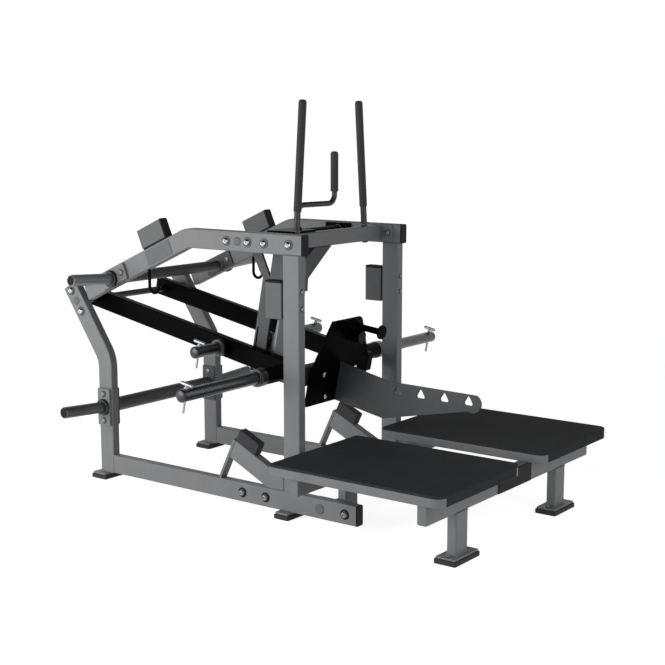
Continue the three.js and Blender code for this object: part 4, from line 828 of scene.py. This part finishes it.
# Platform: front tube with its bare cover, two legs, and a rear arm bolted to each side frame
platformShape = {
    "frontHalf": 610.0, "frontY": 746.0, "tubeLow": 180.7, "rearY": 177.0, "rearInner": 130.0,
    "rearHalf": 591.0, "stubX": 253.0, "stubTop": 186.0, "spigotX": 290.0, "plate": 8.0, "plateHalf": 90.0,
    "boltAt": 62.0, "legLow": 22.0, "cover": (254.0, 76.0), "coverField": (238.0, 60.0),
}
tubeLow, boltAt = platformShape["tubeLow"], platformShape["boltAt"]
tubeMid = tubeLow + tubeWide / 2
frontMid = -platformShape["frontY"] + tubeThin / 2
rearMid = -platformShape["rearY"] + tubeThin / 2
frontReach = platformShape["frontHalf"] - capThick
rearReach = platformShape["rearHalf"] - capThick
footX, footTop = feetShape["deck_foot"][0], feetShape["deck_foot"][4]
frontTube = bmesh.new()
straightTube(frontTube, at(-frontReach, frontMid, tubeMid), at(frontReach, frontMid, tubeMid), up)
for s in (-1, 1):
    capPlug(greyCaps, at(s * frontReach, frontMid, tubeMid), Vector((s, 0, 0)), up)
piece("platformFrontTube", frontTube, greyPowderCoat, "frame", ["platform_front_tube"])
cover = bmesh.new()
coverY = -platformShape["frontY"] - gap
for size, back, corner, thick, edge in ((platformShape["cover"], 0, 5, 0.0022, 0.8),
                                        (platformShape["coverField"], 2, 4, 0.001, 0.5)):
    slab(cover, [at(x, coverY - back, tubeMid + z) for x, z in roundedRect(*size, corner)],
         Vector((0, -thick, 0)), edge)
piece("centreCover", cover, mouldedNylon, "frame", ["centre_cover"])
for side, s in sides:
    out = Vector((s, 0, 0))
    x = s * footX
    leg = bmesh.new()
    straightTube(leg, at(x, frontMid, platformShape["legLow"]), at(x, frontMid, tubeLow - gap), xAxis)
    footPlate(leg, "deck_foot", s)
    piece(f"platformLeg_{side}", leg, greyPowderCoat, "frame", [f"platform_leg_{side}"])
    around = ((-40.5, -20.5), (40.5, -20.5), (40.5, 20.5), (-40.5, 20.5), (-40.5, -20.5))
    bead(welds, [at(x + dx, frontMid + dy, 27) for dx, dy in around], 2.6)
    bead(welds, [at(x - 38, frontMid - 20.3, 180), at(x + 38, frontMid - 20.3, 180)], 2.4)
    for k in (-1, 1):
        bolt(smallDome, smallWasher, at(x + k * boltAt, frontMid, footTop), up, "foot")
    arm = bmesh.new()
    straightTube(arm, at(s * platformShape["rearInner"], rearMid, tubeMid),
                 at(s * rearReach, rearMid, tubeMid), up)
    capPlug(greyCaps, at(s * rearReach, rearMid, tubeMid), out, up)
    stubX, plateX = s * platformShape["stubX"], innerReach - platformShape["plate"]
    straightTube(arm, at(stubX, rearMid, railLow), at(stubX, rearMid, platformShape["stubTop"]), xAxis)
    for near, half, edge in ((platformShape["spigotX"], tubeThin / 2, 1),
                             (plateX, platformShape["plateHalf"], 1.2)):
        xa, xb = sorted((s * near, s * innerReach))
        block(arm, (xa, rearMid - half, railLow + 3.5), (xb, rearMid + half, railTop - 3.5), edge)
    piece(f"platformRearArm_{side}", arm, greyPowderCoat, "frame",
          [f"platform_rear_arm_{side}"])
    for k in (-1, 1):
        bolt(smallDome, smallWasher, at(s * plateX, rearMid + k * boltAt, railMid), -out, "plate")
print("platform frame made")

# Decks: folded trays with round corners, and mats that lap over the front edge
deckShape = {"inner": 85.0, "outer": 643.0, "rear": 78.0, "front": 821.0, "corner": 38.0, "rearCorner": 14.0,
             "top": 304.0, "under": 261.0, "mat": 10.0, "lip": 7.0, "setBack": 0.8}
under, top, corner = deckShape["under"], deckShape["top"], deckShape["corner"]
wide, deep = deckShape["outer"] - deckShape["inner"], deckShape["front"] - deckShape["rear"]
middleX = (deckShape["inner"] + deckShape["outer"]) / 2
middleY = -(deckShape["rear"] + deckShape["front"]) / 2
matLow = top - deckShape["mat"]


def deckRing(bm, s, inset, z, setBack=0):  # once round a deck at height z, this far inside its edge
    verts = []
    rearRound, frontRound = deckShape["rearCorner"], deckShape["corner"]
    for sx, sy, radius, start in ((1, 1, rearRound, 0), (-1, 1, rearRound, 90), (-1, -1, frontRound, 180),
                                  (1, -1, frontRound, 270)):
        px, py = s * middleX + sx * (wide / 2 - radius), middleY + sy * (deep / 2 - radius)
        py += setBack if sy < 0 else 0
        for k in range(11):
            t = math.radians(start + 9 * k)
            verts.append(bm.verts.new(at(px + (radius - inset) * math.cos(t),
                                         py + (radius - inset) * math.sin(t), z)))
    return verts


for side, s in sides:
    tray = bmesh.new()
    skin(tray, [deckRing(tray, s, inset, z, deckShape["setBack"]) for inset, z in (
        (4, under + 18), (4, under + 1), (2.5, under), (1, under + 0.8), (0, under + 3), (0, matLow - 3.2),
        (0.8, matLow - 1), (2.4, matLow - 0.3))])
    piece(f"deckTray_{side}", tray, greyPowderCoat, "frame", [f"deck_tray_{side}"])
    mat = bmesh.new()
    skin(mat, [deckRing(mat, s, inset, z) for inset, z in (
        (1.5, matLow), (1.5, top - 2.2), (2.2, top - 0.7), (3.8, top))])
    near, far = sorted((s * deckShape["inner"], s * deckShape["outer"]))
    block(mat, (near + corner, -deckShape["front"], under + 1.5),
          (far - corner, -deckShape["front"] + deckShape["lip"], matLow + 4), 1.2)
    piece(f"deckMat_{side}", mat, deckMatRubber, "frame", [f"deck_mat_{side}"])
print("decks made")

# Lever arms, with the sockets of the weight horns and black caps in their ends
leverShape = {"inner": 197.0, "outer": 237.0, "front": 1181.0, "past": 59.0, "bore": 14.4,
              "frontHornOut": 1090.0, "frontBoss": 34.0, "frontBossTip": 382.0,
              "rearHornOut": 755.0, "rearBoss": 36.0, "rearBossTip": 262.0}
leverWelds, armPlugs = bmesh.new(), bmesh.new()
leverDome, leverWasher = bmesh.new(), bmesh.new()
upLever = across((0, 0, 1))
innerX, outerX, bore = leverShape["inner"], leverShape["outer"], leverShape["bore"]
armFront, armRear = -leverShape["front"] + capThick, leverShape["past"] - capThick
for side, s in sides:
    x = s * (innerX + outerX) / 2
    out = Vector((s, 0, 0))
    arm = bmesh.new()
    straightTube(arm, onLever(x, armFront, 0), onLever(x, armRear, 0), upLever)
    capPlug(armPlugs, onLever(x, armFront, 0), across((0, -1, 0)), upLever)
    capPlug(armPlugs, onLever(x, armRear, 0), across((0, 1, 0)), upLever)
    turned(arm, [(bore, -1), (20, -1), (20, 41), (bore, 41)], onLever(min(s * innerX, s * outerX), 0, 0),
           xAxis)
    turned(arm, [(bore, 0), (17.5, 0), (17.5, 8), (16.5, 9), (bore, 9)], onLever(s * innerX, 0, 0), -out)
    for horn in ("front", "rear"):
        hornOut, radius, tip = (leverShape[horn + part] for part in ("HornOut", "Boss", "BossTip"))
        root = outerX - 1.5
        turned(arm, [(0, root), (radius, root), (radius, tip - 0.8), (radius - 0.8, tip), (0, tip)],
               onLever(0, -hornOut, 0), out)
        ring = [onLever(s * (outerX + 0.6), -hornOut, 0)
                + across((0, math.cos(t), math.sin(t))) * radius / 1000 for t in onceRound(14)]
        bead(leverWelds, ring, 2.6)
    piece(f"leverArm_{side}", arm, blackPowderCoat, "lever", [f"arm_{side}"])
piece("armPlugs", armPlugs, mouldedNylon, "lever")
pegShape = {"radius": 8.0, "long": 32.7, "edge": 1.5, "out": 962.0, "down": 20.0}
r, long, edge = pegShape["radius"], pegShape["long"], pegShape["edge"]
peg = bmesh.new()
turned(peg, [(0, 0), (r, 0), (r, long - edge), (r - edge, long), (0, long)],
       onLever(-innerX + gap, -pegShape["out"], -pegShape["down"]), xAxis, 32)
piece("catchPeg", peg, darkZincSteel, "lever", ["catch_peg"])
print("lever arms made")

# Weight horns and their lock pins; distances are from the machine's middle
hornShape = {"radius": 24.15, "frontTip": 846.0, "rearTip": 416.0, "collar": 36.0, "frontFrom": 382.3,
             "frontTo": 418.0, "rearFrom": 262.3, "rearTo": 273.3, "flange": 5.0, "dome": 8.0}
pinShape = {"radius": 5.0, "inset": 31.0, "under": 70.0, "over": 41.0, "barHalf": 29.0, "barRadius": 6.5}
r, collar, dome = hornShape["radius"], hornShape["collar"], hornShape["dome"]
q, low, over = pinShape["radius"], -pinShape["under"], pinShape["over"]
bar, half = pinShape["barRadius"], pinShape["barHalf"]
hornTips = bmesh.new()
for side, s in sides:
    out = Vector((s, 0, 0))
    for name in ("front", "rear"):
        tip, start, stop = (hornShape[name + part] for part in ("Tip", "From", "To"))
        hornOut = leverShape[name + "HornOut"]
        axis = onLever(0, -hornOut, 0)
        tube = bmesh.new()
        turned(tube, [(0, start + 4), (r, start + 4), (r, tip - 12), (0, tip - 12)], axis, out)
        piece(f"weightHorn_{name}_{side}", tube, darkZincSteel, "lever",
              [f"weight_horn_{name}_{side}"])
        roundTip = [(r * math.cos(math.radians(t)), tip - dome + dome * math.sin(math.radians(t)))
                    for t in (15, 30, 45, 60, 75)]
        turned(hornTips, [(0, tip - 11.7), (r - 1, tip - 11.7), (r, tip - 10.6), (r, tip - dome)] + roundTip
               + [(0, tip)], axis, out)
        sleeve = bmesh.new()
        flangeFrom = stop - hornShape["flange"]
        turned(sleeve, [(0, start), (collar - 0.8, start), (collar, start + 0.8), (collar, flangeFrom),
                        (0, flangeFrom)], axis, out)
        piece(f"hornSleeve_{name}_{side}", sleeve, blackEnamel, "lever")
        flange = bmesh.new()
        turned(flange, [(0, flangeFrom), (collar - 0.2, flangeFrom), (collar, flangeFrom + 0.6),
                        (collar, stop - 1.2), (collar - 1.2, stop), (r + 2, stop), (r, stop + 2),
                        (0, stop + 2)], axis, out)
        piece(f"hornFlange_{name}_{side}", flange, oxideSteel, "lever")
        base = onLever(s * (tip - pinShape["inset"]), -hornOut, 0)
        pin = bmesh.new()
        turned(pin, [(0, low), (q - 2, low), (q - 0.6, low + 1.6), (q, low + 4), (q, r + 0.3), (8, r + 0.4),
                     (8.5, r + 1.2), (8.5, r + 5.4), (8, r + 6.2), (q, r + 6.4), (q, over), (0, over)],
               base, upLever, 32)
        turned(pin, [(0, -half), (bar - 2, -half), (bar - 0.6, -half + 1), (bar, -half + 3), (bar, half - 3),
                     (bar - 0.6, half - 1), (bar - 2, half), (0, half)], base + upLever * over / 1000,
               across((0, 1, 0)), 32)
        piece(f"lockPin_{name}_{side}", pin, satinZincPlate, f"pin_{name}_{side}",
              [f"weight_pin_{name}_{side}"])
piece("hornTips", hornTips, blackEnamel, "lever")
print("weight horns made")

# Carriage: cross plate and tube, leaning upright, peg with a disc, and drum
carriageShape = {
    "half": 196.7, "front": 1187.0, "thick": 10.0, "drop": 130.0, "rise": 40.0, "lean": 16.4, "left": -190.0,
    "foot": 186.0, "right": 3.0, "uprightRise": 206.0, "uprightFrom": 37.0, "uprightSet": 4.0, "corner": 22.0,
    "tilt": 4.5, "tubeBack": 29.0, "tubeUp": -1.5, "tubeSize": (77.0, 41.0),
    "pegUp": 160.0, "pegLong": 127.0, "pegRadius": 13.0, "discRadius": 28.5, "discThick": 9.0,
    "drumX": -35.0, "drumUp": 129.0, "drumLong": 64.0, "drumRadius": 25.5, "bolts": ((105, -5), (75, -102)),
}
half, frontY = carriageShape["half"], -carriageShape["front"]
rise, drop, thick = carriageShape["rise"], carriageShape["drop"], carriageShape["thick"]
setFront = frontY - carriageShape["uprightSet"]
lean = math.radians(carriageShape["lean"])
carriage = bmesh.new()
slab(carriage, [onLever(px, frontY, (rise - drop) / 2 + pz)
                for px, pz in roundedRect(2 * half, rise + drop, 5)], across((0, 1, 0)) * (thick / 1000), 1.2)
tubeY, tubeUp = frontY + carriageShape["tubeBack"], carriageShape["tubeUp"]
straightTube(carriage, onLever(-half, tubeY, tubeUp), onLever(half, tubeY, tubeUp), upLever,
             *carriageShape["tubeSize"])
leanUp = across((0, -math.sin(lean), math.cos(lean)))
leanOut = across((0, math.cos(lean), math.sin(lean)))
origin = onLever(0, setFront, carriageShape["uprightFrom"])
riseLean = carriageShape["uprightRise"] / math.cos(lean)
left, right, foot = carriageShape["left"], carriageShape["right"], carriageShape["foot"]
outline = [(left, 0)] + [(a, b) for a, b, _ in sideBend([(foot, 0), (right, riseLean), (left, riseLean)],
                                                       carriageShape["corner"])]
slab(carriage, [origin + Vector((px / 1000, 0, 0)) + leanUp * pz / 1000 for px, pz in outline],
     leanOut * (thick / 1000), 1.2)


def leanFace(upBy):  # where the upright's front face is, at this height
    return setFront - (upBy - rise) * math.tan(lean)


tilt = math.radians(carriageShape["tilt"])
level = across((0, -math.cos(tilt), math.sin(tilt)))
pegUp, pegLong = rise + carriageShape["pegUp"], carriageShape["pegLong"]
r, disc = carriageShape["pegRadius"], carriageShape["discRadius"]
discFrom = pegLong - carriageShape["discThick"]
turned(carriage, [(0, -5), (r, -5), (r, discFrom), (disc - 0.5, discFrom), (disc, discFrom + 0.6),
                  (disc, pegLong - 1.4), (disc - 1, pegLong), (0, pegLong)],
       onLever(0, leanFace(pegUp) + 5, pegUp), level)
drumUp, drumLong = rise + carriageShape["drumUp"], carriageShape["drumLong"] + thick
r = carriageShape["drumRadius"]
drumRoot = onLever(carriageShape["drumX"], leanFace(drumUp) + thick, drumUp)
turned(carriage, [(0, 0), (r, 0), (r, drumLong - 3), (0, drumLong - 3)], drumRoot, level)
piece("carriagePlates", carriage, blackPowderCoat, "lever", ["carriage"])
drumCap = bmesh.new()
turned(drumCap, [(0, drumLong - 4), (r, drumLong - 4), (r, drumLong - 1.2), (r - 1.2, drumLong),
                 (0, drumLong)], drumRoot, level)
piece("drumCap", drumCap, mouldedNylon, "lever")
for bx, bz in carriageShape["bolts"]:
    for s in (-1, 1):
        bolt(leverDome, leverWasher, onLever(s * bx, frontY, bz), across((0, -1, 0)), "plate")
print("carriage made")


def softened(name, node, edge, material, body):  # the model's own plate, its edges rounded over
    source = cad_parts[node]
    bm = bmesh.new()
    bm.from_mesh(source.data)
    bmesh.ops.remove_doubles(bm, verts=bm.verts, dist=0.00002)
    bmesh.ops.dissolve_limit(bm, angle_limit=math.radians(1.5), verts=bm.verts, edges=bm.edges)
    edges = [e for e in bm.edges if len(e.link_faces) == 2 and e.calc_face_angle() > math.radians(50)]
    roundOver(bm, edges, edge, 2)
    piece(name, bm, material, body, [node])


softened("beltPlate", "belt_plate", 1.2, beltPlateCoat, "lever")
softened("catchHook", "catch_hook", 1.0, darkZincSteel, "hook")

piece("frameBolts", frameDome, chromePlate, "frame")
piece("frameWashers", frameWasher, oxideSteel, "frame")
piece("smallBolts", smallDome, dullZincPlate, "frame")
piece("smallWashers", smallWasher, oxideSteel, "frame")
piece("tubePlugs", plugs, greyPlug, "frame")
piece("endCaps", caps, mouldedNylon, "frame")
piece("tubeEndPlates", greyCaps, greyPowderCoat, "frame")
piece("railBolts", railDome, dullZincPlate, "frame")
piece("railWashers", railWasher, mouldedNylon, "frame")
piece("frameWelds", welds, greyPowderCoat, "frame", weighted=False, sharp=80)
piece("leverBolts", leverDome, chromePlate, "lever")
piece("leverWashers", leverWasher, oxideSteel, "lever")
piece("leverWelds", leverWelds, blackPowderCoat, "lever", weighted=False, sharp=80)
print("bolts and welds made")

# Camera at the photograph's viewing angle; focal length and frame in pixels
view = {"place": (-4.2204, -3.2851, 1.5310), "yaw": 53.3, "pitch": 9.09, "focal": 1308.0, "frame": 665,
        "sensor": 36}
cameraData = bpy.data.cameras.new("photoCamera")
cameraData.sensor_width = view["sensor"]
cameraData.lens = view["sensor"] * view["focal"] / view["frame"]
cameraData.clip_end = 200
camera = bpy.data.objects.new("photoCamera", cameraData)
yaw, pitch = math.radians(view["yaw"]), math.radians(view["pitch"])
forward = Vector((math.sin(yaw) * math.cos(pitch), math.cos(yaw) * math.cos(pitch), -math.sin(pitch)))
camera.location = view["place"]
camera.rotation_euler = forward.to_track_quat("-Z", "Y").to_euler()
bpy.context.scene.collection.objects.link(camera)
bpy.context.scene.camera = camera

# Studio: pale floor, a large soft light on the left, a weaker one in front, dark flag overhead
studio = {
    "ambient": 0.22, "floorGlow": 0.86, "floorHalf": 40.0, "flagHalf": 3.2, "flagHigh": 3.4,
    "key": {"power": 96.0, "place": (-3.6, 1.7, 1.2), "target": (0, 0.1, 0.6), "size": (3.0, 2.0)},
    "front": {"power": 24.0, "place": (-0.8, -3.6, 1.3), "target": (0, 0, 0.7), "size": (2.6, 1.8)},
}


def areaLight(name, power, place, target, size):
    data = bpy.data.lights.new(name, "AREA")
    data.shape = "RECTANGLE"
    data.size, data.size_y = size
    data.energy = power
    lamp = bpy.data.objects.new(name, data)
    lamp.location = place
    lamp.rotation_euler = (Vector(target) - Vector(place)).to_track_quat("-Z", "Y").to_euler()
    bpy.context.scene.collection.objects.link(lamp)


areaLight("keyLight", **studio["key"])
areaLight("frontLight", **studio["front"])


def stageSheet(name, half, z, material):  # a level square, part of the studio and not of the machine
    mesh = bpy.data.meshes.new(name)
    mesh.from_pydata([(-half, -half, z), (half, -half, z), (half, half, z), (-half, half, z)], [],
                     [(0, 1, 2, 3)])
    obj = bpy.data.objects.new(name, mesh)
    mesh.materials.append(material)
    bpy.context.scene.collection.objects.link(obj)
    return obj


def seenRays(tree):  # 1 for rays from the camera, off metal and through glass
    path = addNode(tree, "ShaderNodeLightPath")
    seen = addNode(tree, "ShaderNodeMath", {"operation": "MAXIMUM"},
                   {0: path.outputs["Is Camera Ray"], 1: path.outputs["Is Glossy Ray"]})
    return addNode(tree, "ShaderNodeMath", {"operation": "MAXIMUM"},
                   {0: seen.outputs[0], 1: path.outputs["Is Transmission Ray"]}).outputs[0]


floorMaterial, tree = newMaterial("paleFloor")
glow = addNode(tree, "ShaderNodeMath", {"operation": "MULTIPLY", 1: studio["floorGlow"]}, {0: seenRays(tree)})
paper = addNode(tree, "ShaderNodeBsdfDiffuse", {"Color": (0.8, 0.8, 0.8, 1)})
emit = addNode(tree, "ShaderNodeEmission", {"Color": (1, 1, 1, 1)}, {"Strength": glow.outputs[0]})
both = addNode(tree, "ShaderNodeAddShader", {}, {0: paper.outputs[0], 1: emit.outputs[0]})
addNode(tree, "ShaderNodeOutputMaterial", {}, {0: both.outputs[0]})
stageSheet("studioFloor", studio["floorHalf"], 0, floorMaterial)

flagMaterial, tree = newMaterial("flagCloth")
cloth = addNode(tree, "ShaderNodeBsdfDiffuse", {"Color": (0.02, 0.02, 0.02, 1)})
addNode(tree, "ShaderNodeOutputMaterial", {}, {0: cloth.outputs[0]})
flag = stageSheet("overheadFlag", studio["flagHalf"], studio["flagHigh"], flagMaterial)
flag.visible_camera = False

world = bpy.data.worlds.new("studioWorld")
world.use_nodes = True
tree = world.node_tree
tree.nodes.clear()
dim = addNode(tree, "ShaderNodeBackground", {"Color": (1, 1, 1, 1), "Strength": studio["ambient"]})
white = addNode(tree, "ShaderNodeBackground", {"Color": (1, 1, 1, 1), "Strength": 1.0})
mixed = addNode(tree, "ShaderNodeMixShader", {}, {0: seenRays(tree), 1: dim.outputs[0], 2: white.outputs[0]})
addNode(tree, "ShaderNodeOutputWorld", {}, {0: mixed.outputs[0]})
bpy.context.scene.world = world
bpy.context.scene.view_settings.view_transform = "Standard"
print("camera and studio made")
